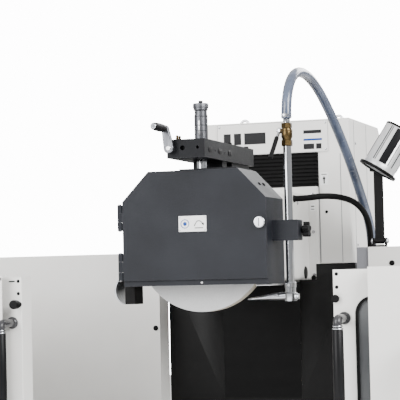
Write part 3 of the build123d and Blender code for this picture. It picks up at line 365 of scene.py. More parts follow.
handleBlack = paint("handleBlack", {
    "colour": (0.004, 0.004, 0.0045), "colour2": (0.0055, 0.0055, 0.006), "wearColour": (0.03, 0.03, 0.03),
    "grain": 600.0, "rough": 0.36, "wear": 0.2, "dust": 0.04, "bump": 0.06, "dustColour": (0.03, 0.03, 0.03),
    "shader": {"Specular IOR Level": 0.12}})
elbowGrey = paint("elbowGrey", {
    "colour": (0.030, 0.030, 0.032), "colour2": (0.022, 0.022, 0.024), "wearColour": (0.12, 0.12, 0.12),
    "grain": 600.0, "rough": 0.22, "wear": 0.3, "dust": 0.04, "bump": 0.06, "dustColour": (0.05, 0.05, 0.05),
    "shader": {"Specular IOR Level": 0.35}})
stopRed = paint("stopRed", {
    "colour": (0.50, 0.012, 0.010), "colour2": (0.44, 0.010, 0.010), "wearColour": (0.55, 0.10, 0.08),
    "grain": 500.0, "rough": 0.25, "wear": 0.2, "dust": 0.05, "bump": 0.05})
groundSteel = metal("groundSteel", {
    "colour": (0.50, 0.50, 0.51), "colour2": (0.42, 0.42, 0.43), "stretch": (0.04, 1.0, 1.0),
    "lines": 900.0, "rough": 0.28, "bump": 0.12})
turnedSteel = metal("turnedSteel", {
    "colour": (0.52, 0.52, 0.53), "colour2": (0.43, 0.43, 0.44), "stretch": (1.0, 1.0, 0.05),
    "lines": 900.0, "rough": 0.24, "bump": 0.10})
chrome = metal("polishedChrome", {
    "colour": (0.45, 0.46, 0.48), "colour2": (0.38, 0.39, 0.41), "stretch": (1.0, 1.0, 0.03),
    "lines": 500.0, "rough": 0.10, "bump": 0.02, "dust": 0.05})
brass = metal("castBrass", {
    "colour": (0.085, 0.057, 0.024), "colour2": (0.050, 0.034, 0.015), "stretch": (1.0, 1.0, 1.0),
    "lines": 350.0, "rough": 0.30, "bump": 0.25, "dust": 0.1})
aluminium = metal("satinAluminium", {
    "colour": (0.13, 0.133, 0.144), "colour2": (0.105, 0.108, 0.118), "stretch": (1.0, 1.0, 0.06),
    "lines": 260.0, "rough": 0.36, "bump": 0.03})
lampAluminium = metal("lampAluminium", {
    "colour": (0.74, 0.74, 0.74), "colour2": (0.66, 0.66, 0.67), "stretch": (1.0, 1.0, 0.06),
    "lines": 700.0, "rough": 0.38, "bump": 0.08})

labelSettings = {
    "shader": {"Specular IOR Level": 0.1}, "grain": 800.0, "wear": 0.1, "dust": 0.05, "bump": 0.03,
    "rough": 0.35, "wearColour": (0.3, 0.3, 0.3)}
labelWhite = paint("labelWhite", {
    **labelSettings, "colour": (0.78, 0.78, 0.77), "colour2": (0.74, 0.74, 0.73)})
labelDark = paint("labelDark", {
    **labelSettings, "colour": (0.006, 0.006, 0.007), "colour2": (0.008, 0.008, 0.009)})
labelBlue = paint("labelBlue", {
    **labelSettings, "colour": (0.012, 0.045, 0.20), "colour2": (0.015, 0.05, 0.22)})
labelYellow = paint("labelYellow", {
    **labelSettings, "colour": (0.75, 0.52, 0.03), "colour2": (0.70, 0.48, 0.03)})


def lensMaterial():
    settings = {"shader": {"Transmission Weight": 0.6, "IOR": 1.45}}
    material, tree, shader, place = startMaterial("lampLensGlass", settings)
    frost = addNode(tree, "ShaderNodeTexVoronoi", None, {"Vector": place, "Scale": 320.0})
    tree.links.new(mixColour(tree, frost.outputs["Distance"], (0.86, 0.88, 0.90), (0.72, 0.75, 0.78)),
                   shader.inputs["Base Color"])
    tree.links.new(smoothRange(tree, frost.outputs["Distance"], 0.1, 0.6, 0.18, 0.4),
                   shader.inputs["Roughness"])
    addBump(tree, shader, frost.outputs["Distance"], 0.5, 0.0006)
    return material


lampGlass = lensMaterial()


def abrasiveMaterial():
    settings = {"colour": (0.31, 0.315, 0.32), "colour2": (0.39, 0.39, 0.39), "rim": (0.50, 0.46, 0.38),
                "shader": {"Roughness": 0.92}}
    material, tree, shader, place = startMaterial("vitrifiedAbrasive", settings)
    grains = addNode(tree, "ShaderNodeTexVoronoi", None, {"Vector": place, "Scale": 650.0})
    cloud = addNode(tree, "ShaderNodeTexNoise", None, {"Vector": place, "Scale": 18.0, "Detail": 6.0})
    colour = mixColour(tree, cloud.outputs["Fac"], settings["colour"], settings["colour2"])
    sparkle = smoothRange(tree, grains.outputs["Distance"], 0.1, 0.6, 0.0, 0.35)
    colour = mixColour(tree, sparkle, colour, (0.62, 0.62, 0.62))
    # the ground rim is paler and warmer than the flat sides
    normalParts = addNode(tree, "ShaderNodeSeparateXYZ", None,
                          {0: addNode(tree, "ShaderNodeNewGeometry").outputs["Normal"]})
    rimMask = smoothRange(tree, mathNode(tree, "ABSOLUTE", normalParts.outputs["Y"]), 0.2, 0.6, 1.0, 0.0)
    colour = mixColour(tree, rimMask, colour, settings["rim"])
    tree.links.new(colour, shader.inputs["Base Color"])
    addBump(tree, shader, grains.outputs["Distance"], 0.6, 0.0006)
    return material


def hoseMaterial():
    # clear PVC with a milky film inside; its colour is painted darker towards the hose's outline, as painted
    # shade where it is seen through more wall
    settings = {"shader": {"Transmission Weight": 0.12, "IOR": 1.45, "Coat Weight": 0.5,
                           "Coat Roughness": 0.10}}
    material, tree, shader, place = startMaterial("hosePvc", settings)
    cloud = addNode(tree, "ShaderNodeTexNoise", None, {"Vector": place, "Scale": 14.0, "Detail": 4.0})
    film = addNode(tree, "ShaderNodeTexNoise", None, {"Vector": place, "Scale": 90.0, "Detail": 2.0})
    wall = addNode(tree, "ShaderNodeLayerWeight", None, {"Blend": 0.35}).outputs["Facing"]
    middle = mixColour(tree, smoothRange(tree, cloud.outputs["Fac"], 0.35, 0.65), (0.048, 0.062, 0.100),
                       (0.095, 0.118, 0.175))
    # painted shade: the base colour darkens towards the hose's outline
    colour = mixColour(tree, smoothRange(tree, wall, 0.35, 0.95), middle, (0.022, 0.031, 0.060))
    tree.links.new(colour, shader.inputs["Base Color"])
    tree.links.new(smoothRange(tree, film.outputs["Fac"], 0.3, 0.7, 0.16, 0.28), shader.inputs["Roughness"])
    addBump(tree, shader, film.outputs["Fac"], 0.10, 0.0006)
    return material


def windowMaterial():
    settings = {"shader": {"Transmission Weight": 0.35, "IOR": 1.5, "Coat Weight": 0.4}}
    material, tree, shader, place = startMaterial("windowPolycarbonate", settings)
    smear = addNode(tree, "ShaderNodeTexNoise", None, {"Vector": place, "Scale": 7.0, "Detail": 6.0})
    colour = mixColour(tree, smear.outputs["Fac"], (0.085, 0.09, 0.095), (0.13, 0.135, 0.14))
    tree.links.new(colour, shader.inputs["Base Color"])
    tree.links.new(smoothRange(tree, smear.outputs["Fac"], 0.35, 0.7, 0.10, 0.26), shader.inputs["Roughness"])
    return material


def poleMaterial():
    # ground pole plate: brass separators between the steel poles, across the table's travel
    settings = {"shader": {"Metallic": 1.0}}
    material, tree, shader, place = startMaterial("polePlate", settings)
    parts = addNode(tree, "ShaderNodeSeparateXYZ", None, {0: place})
    phase = mathNode(tree, "FRACT", mathNode(tree, "MULTIPLY", parts.outputs["X"], 40.0))
    line = mathNode(tree, "LESS_THAN", phase, 0.14)
    top = addNode(tree, "ShaderNodeSeparateXYZ", None,
                  {0: addNode(tree, "ShaderNodeNewGeometry").outputs["Normal"]}).outputs["Z"]
    line = mathNode(tree, "MULTIPLY", line, smoothRange(tree, top, 0.8, 0.95))
    brushed = useGroup(tree, brushedLines, {"Vector": place, "Stretch": (0.05, 1.0, 1.0), "Scale": 800.0})
    colour = mixColour(tree, brushed.outputs["Streaks"], (0.50, 0.50, 0.51), (0.40, 0.40, 0.41))
    colour = mixColour(tree, line, colour, (0.55, 0.38, 0.15))
    tree.links.new(colour, shader.inputs["Base Color"])
    tree.links.new(smoothRange(tree, brushed.outputs["Height"], 0.3, 0.7, 0.2, 0.34),
                   shader.inputs["Roughness"])
    addBump(tree, shader, brushed.outputs["Height"], 0.1, 0.0001)
    return material


def shieldMaterial():
    # bare steel deflector; its mouth beside the wheel is coloured near-black and non-metal
    material, tree, shader, place = startMaterial("sparkShield", {"shader": {"Specular IOR Level": 0.1}})
    parts = addNode(tree, "ShaderNodeSeparateXYZ", None, {0: place})
    mouth = smoothRange(tree, parts.outputs["X"], -0.2090, -0.2080)
    brushed = useGroup(tree, brushedLines, {"Vector": place, "Stretch": (1.0, 1.0, 0.05), "Scale": 500.0})
    steel = mixColour(tree, brushed.outputs["Streaks"], (0.36, 0.37, 0.38), (0.27, 0.28, 0.29))
    tree.links.new(mixColour(tree, mouth, steel, (0.006, 0.006, 0.006)), shader.inputs["Base Color"])
    tree.links.new(mathNode(tree, "SUBTRACT", 1.0, mouth), shader.inputs["Metallic"])
    rough = smoothRange(tree, brushed.outputs["Height"], 0.3, 0.7, 0.32, 0.46)
    addRoughness(tree, shader, rough, mouth, 0.25)
    addBump(tree, shader, brushed.outputs["Height"], 0.15, 0.0002)
    return material


abrasive = abrasiveMaterial()
sparkSteel = shieldMaterial()
hosePvc = hoseMaterial()
windowGlass = windowMaterial()
polePlate = poleMaterial()
print("materials made")

finishes = {
    casting: ["bed_casting", "column_saddle", "column_casting"],
    groundSteel: ["bed_ways", "head_ways", "work_table", "screw_bearings", "spindle_bearings"],
    turnedSteel: ["levelling_feet", "table_screw", "cross_screw", "head_screw", "spindle_shaft",
                  "wheel_flanges"],
    polePlate: ["magnetic_chuck"],
    whitePaint: ["splash_tray", "back_panels", "enclosure_panels", "lower_front_panel", "column_cover",
                 "sign_plate", "wheel_head", "left_door", "right_door", "control_panel"],
    # the seal post's grey is painted shade on a face in shadow
    greyPaintAndShade: ["seal_post"],
    sparkSteel: ["spark_shield"],
    graphite: ["guard_body", "guard_door", "guard_hinges", "pipe_clamp"],
    dresserShadedGraphite: ["dresser_mount", "dresser_block"],
    blackSheet: ["apron", "hose_bracket", "lamp_arm", "lamp_base", "valve_lever"],
    bellowsRubber: ["upper_bellows", "lower_bellows"],
    blackPlastic: ["clamp_knob", "crank_grip"],
    motorPaint: ["spindle_motor"],
    chrome: ["coolant_pipe", "guard_lock", "nozzle", "dresser_quill"],
    brass: ["valve_body"],
    abrasive: ["grinding_wheel"],
    aluminium: ["dresser_carriage", "micrometer_knob", "lamp_head", "crank_arm"],
    windowGlass: ["left_window", "right_window"],
    handleBlack: ["left_handle", "right_handle"],
    stopRed: ["emergency_stop"],
}
for material, names in finishes.items():
    for name in names:
        mesh = nodes[name].data
        mesh.materials.clear()
        mesh.materials.append(material)

# cords' finish, in place of the CAD cords
coolantHose.data.materials.append(hosePvc)
powerCable.data.materials.append(bellowsRubber)
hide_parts("coolant_hose")
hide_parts("power_cable")
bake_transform(coolantHose)
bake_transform(powerCable)

# tools for modelling; lengths are in millimetres and places are counted from the wheel's centre
floorLevel = -1560.0


def pickMesh():
    bpy.ops.object.mode_set(mode="EDIT")
    bpy.ops.mesh.select_all(action="SELECT")


def faceOutwards():
    bpy.ops.mesh.select_all(action="SELECT")
    bpy.ops.mesh.normals_make_consistent(inside=False)
    bpy.ops.object.mode_set(mode="OBJECT")


def joinPieces(pieces):
    pickOnly(pieces[0])
    for piece in pieces[1:]:
        piece.select_set(True)
    if len(pieces) > 1:
        bpy.ops.object.join()
    return bpy.context.object


def finishPiece(parts, name, body, material, replaces=None, smooth=35.0):
    # joins the parts, places them in the mesh, and gives them a name, a finish and a body
    piece = joinPieces(parts)
    piece.name = name
    piece.data.name = name
    bpy.ops.object.transform_apply(location=True, rotation=True, scale=True)
    bpy.ops.object.shade_smooth_by_angle(angle=math.radians(smooth))
    piece.data.materials.clear()
    piece.data.materials.append(material)
    if body:
        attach(piece, body)
    if replaces:
        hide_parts(replaces)
    return piece


def roundedBlock(low, high, bevel, segments=2):
    # a cube between two corners, with its edges bevelled
    low, high = fromWheel(*low), fromWheel(*high)
    bpy.ops.object.select_all(action="DESELECT")
    bpy.ops.mesh.primitive_cube_add(size=1.0, location=(low + high) / 2)
    block = bpy.context.object
    block.scale = high - low
    bpy.ops.object.transform_apply(location=False, rotation=False, scale=True)
    pickMesh()
    bpy.ops.mesh.bevel(offset=bevel / 1000, segments=segments, affect="EDGES", clamp_overlap=True)
    bpy.ops.object.mode_set(mode="OBJECT")
    return block


def sideBlock(side, near, far, y, z, bevel, segments=2):
    # a block on the left (-1) or right (1) side, between two distances from the middle
    (y0, y1), (z0, z1) = y, z
    x0, x1 = sorted((side * near, side * far))
    return roundedBlock((x0, y0, z0), (x1, y1, z1), bevel, segments)


def turnedPart(at, axis, profile, sides=32):
    # a disc extruded and scaled ring by ring; the profile is (radius, height)
    bpy.ops.object.select_all(action="DESELECT")
    bpy.ops.mesh.primitive_circle_add(vertices=sides, radius=profile[0][0] / 1000, fill_type="NGON",
                                      location=(0, 0, 0))
    part = bpy.context.object
    pickMesh()
    base = profile[0][1]
    for (radius, height), (nextRadius, nextHeight) in zip(profile, profile[1:]):
        rise = (0, 0, (nextHeight - height) / 1000)
        bpy.ops.mesh.extrude_region_move(TRANSFORM_OT_translate={"value": rise})
        factor = nextRadius / radius
        bpy.ops.transform.resize(value=(factor, factor, 1.0),
                                 center_override=(0, 0, (nextHeight - base) / 1000))
    faceOutwards()
    part.matrix_world = (Matrix.Translation(fromWheel(*at))
                         @ Vector(axis).to_track_quat("Z", "Y").to_matrix().to_4x4()
                         @ Matrix.Translation((0, 0, base / 1000)))
    bpy.ops.object.transform_apply(location=True, rotation=True, scale=True)
    return part


def ringPart(at, axis, radius, thickness, sides=32, across=8):
    bpy.ops.object.select_all(action="DESELECT")
    turn = Vector(axis).to_track_quat("Z", "Y").to_euler()
    bpy.ops.mesh.primitive_torus_add(major_radius=radius / 1000, minor_radius=thickness / 1000,
                                     major_segments=sides, minor_segments=across,
                                     location=fromWheel(*at), rotation=turn)
    bpy.ops.object.transform_apply(location=True, rotation=True, scale=True)
    return bpy.context.object


def socketScrew(at, axis, radius, height):
    # head with a chamfered rim and a round recess
    return turnedPart(at, axis, [(radius, -0.5), (radius, height * 0.8), (radius * 0.86, height),
                                 (radius * 0.55, height), (radius * 0.5, height * 0.45)], sides=18)


def addScrews(name, body, places, axis, size, material=turnedSteel):
    # the size is (radius, height) of one head
    finishPiece([socketScrew(at, axis, *size) for at in places], name, body, material)


def tubePart(points, radius):
    return thickenLine(smoothLine("bar", points, 10), radius / 1000, 5)


# bellows
bellowsSettings = {
    "upperBellows": {"half": 138.0, "front": 655.0, "z": (172.5, 272.8), "pleats": 9, "depth": 5.0,
                     "replaces": "upper_bellows", "start": (0, 660, 174), "end": (0, 660, 271)},
    "lowerCurtain": {"half": 114.5, "front": 503.6, "z": (-433.0, -106.0), "pleats": 6, "depth": 0.8,
                     "replaces": "lower_bellows", "start": (0, 505, -108), "end": (0, 505, -431)},
}
foldSteps = (0.0, 0.8, 1.0, 0.8)                               # how far back each row of a fold lies
sheetThickness = 0.002


def addBellows(name, settings):
    # a sheet cut into strips, with the rows pushed back in turn, then given a thickness
    low, high = settings["z"]
    rows = settings["pleats"] * len(foldSteps)
    bpy.ops.object.select_all(action="DESELECT")
    bpy.ops.mesh.primitive_grid_add(x_subdivisions=10, y_subdivisions=rows, size=1.0, location=(0, 0, 0))
    sheet = bpy.context.object
    sheet.matrix_world = (Matrix.Translation(fromWheel(0, settings["front"], (low + high) / 2))
                          @ Matrix.Rotation(math.radians(90), 4, "X")
                          @ Matrix.Diagonal((settings["half"] / 500, (high - low) / 1000, 1.0, 1.0)))
    bpy.ops.object.transform_apply(location=True, rotation=True, scale=True)
    top = fromWheel(0, 0, high).z
    step = (high - low) / 1000 / rows
    for vertex in sheet.data.vertices:
        row = round((top - vertex.co.z) / step)
        vertex.co.y += foldSteps[row % len(foldSteps)] * settings["depth"] / 1000
    thick = sheet.modifiers.new("thickness", "SOLIDIFY")
    thick.thickness = sheetThickness
    thick.offset = -1.0
    bpy.ops.object.modifier_apply(modifier=thick.name)
    finishPiece([sheet], name, None, bellowsRubber, settings["replaces"], 25.0)
    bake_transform(sheet)


for name, settings in bellowsSettings.items():
    addBellows(name, settings)
print("bellows made")

# wheel guard
guardSettings = {
    "front": -80.6, "half": 192.45, "faceFront": -74.6,
    "label": {"x": (-39.0, 35.0), "z": (30.0, 70.0), "thick": 1.2},
    "chamfer": {"x": 120.5, "z": 187.0, "across": 71.95, "down": 75.4},      # the corner cut off at the right
    "chamferScrews": [(158.0, -18.0), (158.0, 22.0)],                         # x, y
    "hingeScrews": [(-60.0, 52.0), (-60.0, 89.0), (-60.0, -76.0), (-60.0, -36.0)],      # y, z
    "stripScrews": [(18.0, -99.5)],                                           # x, z
    "hingePins": {"out": 7.6, "y": -78, "ends": [(103.6, 1), (37.5, -1), (-21.0, 1), (-91.0, -1)]},
    "footStrip": {"x": 150.0, "y": (-40.0, 70.0), "z": (-111.0, -106.0)},
}


def addGuardLabel(front, label):
    (x0, x1), (z0, z1) = label["x"], label["z"]
    y = front - label["thick"]
    middle = (z0 + z1) / 2
    plate = roundedBlock((x0, y, z0), (x1, front + 0.4, z1), 0.5, 1)
    finishPiece([plate], "guardLabel", "guard_door", labelWhite)
    finishPiece([ringPart((x0 + 17, y, middle), (0, 1, 0), 10.6, 0.9, 40, 8),
                 turnedPart((x0 + 17, y + 0.2, middle), (0, -1, 0), [(5.6, 0), (5.6, 0.4), (4.9, 0.7)], 6)],
                "guardLabelDisc", "guard_door", labelBlue)
    arc = [(-32, 44), (-27, 55), (-19, 58), (-12, 54), (-8, 48)]
    finishPiece([tubePart([(x1 + x, y - 0.1, z) for x, z in arc], 0.9),
                 turnedPart((x1 - 9.3, y - 0.1, 50.5), (0.5, 0, -1), [(3.0, 0), (0.2, 6.0)], 12),
                 roundedBlock((x1 - 31, y - 0.6, 38.0), (x1 - 8, y + 0.3, 40.0), 0.2, 1)],
                "guardLabelArrow", "guard_door", labelDark)
    rivets = [turnedPart((x, y + 0.2, z), (0, -1, 0), [(1.6, 0), (1.5, 0.8), (0.9, 1.2)], 12)
              for x in (x0 + 3.5, x1 - 3.5) for z in (z0 + 3.5, z1 - 3.5)]
    finishPiece(rivets, "guardLabelRivets", "guard_door", chrome)


def addGuardScrews(settings):
    half, cut = settings["half"], settings["chamfer"]
    slope = Vector((cut["down"], 0.0, cut["across"])).normalized()
    places = [(x, y, cut["z"] - (x - cut["x"]) * cut["down"] / cut["across"])
              for x, y in settings["chamferScrews"]]
    addScrews("chamferScrews", "wheel_head", places, slope, (5.0, 3.0), blackPlastic)
    addScrews("hingeScrews", "wheel_head", [(-half, y, z) for y, z in settings["hingeScrews"]],
              (-1, 0, 0), (4.2, 3.6))
    addScrews("stripScrews", "wheel_head", [(x, settings["faceFront"], z) for x, z in settings["stripScrews"]],
              (0, -1, 0), (3.2, 2.4))
    pins = settings["hingePins"]
    x, y = -half - pins["out"], pins["y"]
    caps = [turnedPart((x, y, z), (0, 0, way), [(4.4, -0.2), (4.4, 1.2), (3.0, 2.4)], 20)
            for z, way in pins["ends"]]
    finishPiece(caps, "hingePinHeads", "wheel_head", turnedSteel)
    strip = settings["footStrip"]
    finishPiece([sideBlock(1, strip["x"], half - 1.0, strip["y"], strip["z"], 1.0)],
                "guardFootStrip", "wheel_head", groundSteel)


addGuardLabel(guardSettings["front"], guardSettings["label"])
addGuardScrews(guardSettings)
print("guard pieces made")

# dresser: block, sleeve, micrometer and crank
dresserSettings = {
    "top": 262.0,
    "nipples": [(-30.0, -104.0), (-30.0, -84.0)],
    "nippleProfile": [(4.5, -1), (4.5, 4), (3.2, 5), (3.2, 8), (4.0, 9), (2.6, 12), (1.4, 13)],
    "topScrews": [(-38.0, 120.0), (38.0, 120.0), (-38.0, 270.0), (38.0, 270.0)],
    # black slotted shapes on the dresser's sides: painted shade inside its holes
    "sideHoleShades": {"x": (49.2, 49.4, 51.0), "y": (-82, 0, 82), "z": 236.0, "halfWidth": 6.0, "radius": 7.4},
    "sleeveGrooves": [292.0, 306.0, 329.0],
    "scale": {"from": 266, "step": 2.2, "lines": 11, "long": 5.0, "short": 3.0, "longEvery": 5},
}
micrometerSettings = {
    "cap": [(16.5, 343.4), (17.5, 345.5), (18.6, 346.2), (18.6, 350.5), (19.8, 351.2), (19.8, 362.0),
            (19.0, 363.3), (12.0, 363.6), (11.0, 364.4), (7.0, 364.6)],
    "button": [(6.4, 364.0), (6.4, 365.6), (5.4, 366.2), (5.9, 368.8), (5.2, 370.6), (2.5, 371.0)],
    "knurls": 36, "knurlRadius": 19.7, "knurl": [(0.5, 352.2), (0.8, 352.8), (0.8, 360.6), (0.5, 361.2)],
}
crankSettings = {
    "grip": (-48.0, -149.0, 289.0), "length": 78.0, "hub": (-39, -148, 239),
    "gripProfile": [(7.5, 0.6), (8.6, 1.5), (9.4, 6), (10.6, 30), (10.7, 50), (9.8, 68), (9.0, 76),
                    (8.0, 78), (6.2, 78.2)],
}
sleeveFoot = (0, 0, 0)                                         # the sleeve stands over the wheel's centre


def addDresserPieces(settings):
    top = settings["top"]
    nipples = [turnedPart((x, y, top), (0, 0, 1), settings["nippleProfile"], 16)
               for x, y in settings["nipples"]]
    finishPiece(nipples, "greaseNipples", "wheel_head", brass)
    addScrews("dresserScrews", "wheel_head", [(x, y, top) for x, y in settings["topScrews"]], (0, 0, 1),
              (6.5, 6.0), blackPlastic)
    plug = settings["sideHoleShades"]
    radius, z = plug["radius"], plug["z"]
    inner, barIn, barOut = plug["x"]
    sideHoleShades = []
    for y in plug["y"]:                                        # painted shade of the slotted side holes: two round ends and a bar
        y0, y1 = y - plug["halfWidth"], y + plug["halfWidth"]
        sideHoleShades += [turnedPart((inner, end, z), (1, 0, 0), [(radius, 0), (radius, 1.4), (6.2, 2.0)], 28)
                  for end in (y0, y1)]
        sideHoleShades.append(roundedBlock((barIn, y0, z - 7.2), (barOut, y1, z + 7.2), 0.4, 1))
    finishPiece(sideHoleShades, "dresserSideHoleShade", "wheel_head", blackPlastic)
    grooves = [ringPart((0, 0, z), (0, 0, 1), 17.3, 0.8, 40, 6) for z in settings["sleeveGrooves"]]
    finishPiece(grooves, "sleeveGrooves", "dresser_carriage", labelDark)
    scale = settings["scale"]
    lines = []
    for index in range(scale["lines"]):
        z = scale["from"] + scale["step"] * index
        length = scale["short"] if index % scale["longEvery"] else scale["long"]
        lines.append(roundedBlock((7.0, -16.6, z - 0.3), (7.0 + length, -14.6, z + 0.3), 0.1, 1))
    finishPiece(lines, "sleeveScale", "dresser_carriage", labelDark)
    finishPiece([roundedBlock((-2.4, -16.4, 278.2), (2.4, -14.0, 317.8), 0.4)], "sleeveSlotKey",
                "dresser_carriage", turnedSteel)


def addMicrometer(settings):
    finishPiece([turnedPart(sleeveFoot, (0, 0, 1), settings["cap"], 48)], "micrometerCap", "micrometer_knob",
                aluminium, "micrometer_knob")
    finishPiece([turnedPart(sleeveFoot, (0, 0, 1), settings["button"], 24)], "micrometerButton",
                "micrometer_knob", blackPlastic)
    knurls = []
    for index in range(settings["knurls"]):
        turn = math.radians(index * 360 / settings["knurls"])
        x, y = settings["knurlRadius"] * math.cos(turn), settings["knurlRadius"] * math.sin(turn)
        knurls.append(turnedPart((x, y, 0), (0, 0, 1), settings["knurl"], 6))
    finishPiece(knurls, "micrometerKnurl", "micrometer_knob", aluminium)


def addCrankPieces(settings):
    x, y, z = settings["grip"]
    finishPiece([turnedPart((x, y, z), (0, -1, 0), settings["gripProfile"], 32)], "crankHandGrip", "crank",
                blackPlastic, "crank_grip")
    cap = [(6.4, -1.0), (6.4, 1.4), (5.6, 2.2), (2.6, 2.2), (2.2, 1.0)]
    finishPiece([turnedPart((x, y - settings["length"], z), (0, -1, 0), cap, 28)], "crankGripCap", "crank",
                chrome)
    finishPiece([turnedPart(settings["hub"], (0, -1, 0), [(6.0, -0.5), (6.0, 1.4), (5.0, 2.2)], 24)],
                "crankHubScrew", "crank", turnedSteel)


addDresserPieces(dresserSettings)
addMicrometer(micrometerSettings)
addCrankPieces(crankSettings)
print("dresser pieces made")

# coolant valve, its lever and the nozzle
valveSettings = {
    "x": 232.0, "y": -10.0, "leverZ": 280.0,
    "foot": [(13.0, 241.0), (14.4, 242.5), (14.4, 255.5), (13.0, 257.0)],
    "middle": [(11.6, 256.5), (12.0, 260.0), (13.9, 264.0), (14.2, 272.0), (13.9, 282.0), (12.0, 287.0)],
    "top": [(12.8, 287.0), (14.0, 288.4), (14.0, 298.6), (12.8, 300.0)],
    "boss": [(6.5, 8.0), (6.5, 14.5), (5.2, 15.0), (5.2, 16.5)],
    "bands": (266.0, 279.0),
    "barb": [(7.4, 299.5), (7.4, 303.0), (9.6, 303.6), (8.6, 306.0), (9.6, 306.4), (8.6, 309.0),
             (9.6, 309.4), (8.6, 312.5)],
    "clipRings": (321, 316),
}
leverSettings = {
    "tilt": 39.0, "rootRadius": 3.6, "sleeveRadius": 5.6,
    "root": [(-3, 0), (8, 0), (20, -2), (34, -4)],             # along the lever, and sideways in x
    "sleeve": [(24, -3), (40, -4), (66, -6), (94, -9)],
}
nozzleSettings = {
    "z": -140.0,
    "collar": [(14.2, -151.0), (15.0, -149.5), (15.0, -131.0), (13.6, -129.5), (13.6, -118.0),
               (14.8, -117.0), (14.8, -104.5), (13.8, -103.2), (10.6, -103.2)],
    "plug": [(9.0, -2.0), (9.0, 5.0), (7.0, 6.0), (7.0, 9.0), (6.0, 10.0)],
    "hornRadius": 0.010, "wall": 0.0008, "mouthDepth": 0.006,
    "horn": [(22, 1.0, 1.15, -1.0), (26, 0.74, 1.18, -2.0),    # length, flatter, wider, down
             (26, 0.66, 1.15, -2.0), (25, 0.72, 1.08, -2.0)],
}
valveX, valveY = valveSettings["x"], valveSettings["y"]


def addValve(settings):
    at, up = (valveX, valveY, 0), (0, 0, 1)
    parts = [turnedPart(at, up, settings["foot"], 6), turnedPart(at, up, settings["middle"], 32),
             turnedPart(at, up, settings["top"], 6),
             turnedPart((valveX, valveY, settings["leverZ"]), (-1, 0, 0), settings["boss"], 24)]
    parts += [ringPart((valveX, valveY, z), up, 14.2, 0.9, 36, 6) for z in settings["bands"]]
    finishPiece(parts, "brassValve", "wheel_head", brass, "valve_body")
    finishPiece([turnedPart(at, up, settings["barb"], 24)], "hoseBarb", "wheel_head", chrome)
    clip = [ringPart((valveX, valveY, z), up, 13.6, 0.7, 36, 6) for z in settings["clipRings"]]
    clip.append(roundedBlock((valveX - 5, valveY - 19.5, 314.5), (valveX + 5, valveY - 13, 322.5), 1.2))
    finishPiece(clip, "hoseClip", "wheel_head", turnedSteel)


def addLever(settings):
    # a steel root on the valve's stem and a rubber sleeve that hangs and leans to the front
    tilt = math.radians(settings["tilt"])
    along = Vector((0, -math.sin(tilt), -math.cos(tilt)))
    start = Vector((valveX - 19.5, valveY, valveSettings["leverZ"] + 1.5))
    root, sleeve = ([start + along * reach + Vector((aside, 0, 0)) for reach, aside in settings[part]]
                    for part in ("root", "sleeve"))
    finishPiece([tubePart(root, settings["rootRadius"]),
                 turnedPart(start + Vector((3, 0, 0)), (-1, 0, 0), [(7.8, 0.0), (7.8, 5.0), (6.8, 6.0)], 6),
                 turnedPart(start + Vector((-2.5, 0, 0)), (-1, 0, 0), [(3.6, 0.0), (3.6, 4.0), (2.8, 4.8)],
                            20)],
                "leverRoot", "valve_lever", chrome)
    finishPiece([tubePart(sleeve, settings["sleeveRadius"])], "leverSleeve", "valve_lever", blackPlastic,
                "valve_lever")


def addNozzle(settings):
    # collar on the pipe's foot, round plug and a flat horn that narrows to its mouth
    z = settings["z"]
    collar = turnedPart((valveX, valveY, 0), (0, 0, 1), settings["collar"], 32)
    plug = turnedPart((valveX + 12, valveY, z), (1, 0, 0), settings["plug"], 24)
    bpy.ops.object.select_all(action="DESELECT")
    bpy.ops.mesh.primitive_circle_add(vertices=24, radius=settings["hornRadius"], fill_type="NGON",
                                      location=(0, 0, 0))
    horn = bpy.context.object
    pickMesh()
    reach, drop = 0.0, 0.0
    for length, flatter, wider, down in settings["horn"]:
        reach += length / 1000
        drop += down / 1000
        bpy.ops.mesh.extrude_region_move(TRANSFORM_OT_translate={"value": (0, down / 1000, length / 1000)})
        bpy.ops.transform.resize(value=(wider, flatter, 1.0), center_override=(0, drop, reach))
    bpy.ops.mesh.inset(thickness=settings["wall"])
    bpy.ops.mesh.extrude_region_move(TRANSFORM_OT_translate={"value": (0, 0, -settings["mouthDepth"])})
    faceOutwards()
    across = Matrix(((0, 0, -1), (-1, 0, 0), (0, 1, 0))).to_4x4()      # width along Y, length along -X
    horn.matrix_world = Matrix.Translation(fromWheel(valveX - 10, valveY, z + 2)) @ across
    pickOnly(horn)
    bpy.ops.object.transform_apply(location=True, rotation=True, scale=True)
    nozzle = joinPieces([collar, plug, horn])
    pickMesh()
    faceOutwards()
    finishPiece([nozzle], "nozzleHorn", "nozzle", chrome, "nozzle")
    addScrews("nozzleSetScrew", "nozzle", [(valveX, valveY - 14.8, -111)], (0, -1, 0), (3.4, 3.0))


addValve(valveSettings)
addLever(leverSettings)
addNozzle(nozzleSettings)
glandPlace = (110, 420, 128)                                   # where the power cable leaves the head
gland = [turnedPart(glandPlace, (1, 0, 0), profile, sides) for profile, sides in (
    ([(17, 0), (17, 3.0), (14.5, 3.2)], 6),
    ([(14.6, 3.0), (14.6, 11.0), (13.6, 12.0), (13.6, 16.0), (10.2, 19.0), (8.8, 24.0)], 24))]
finishPiece(gland, "cableGland", "wheel_head", blackPlastic)
print("coolant pieces made")

# apron
apronSettings = {"notch": ((-165.0, 500.0, -99.0), (165.0, 567.0, -45.0)), "edge": 0.8}


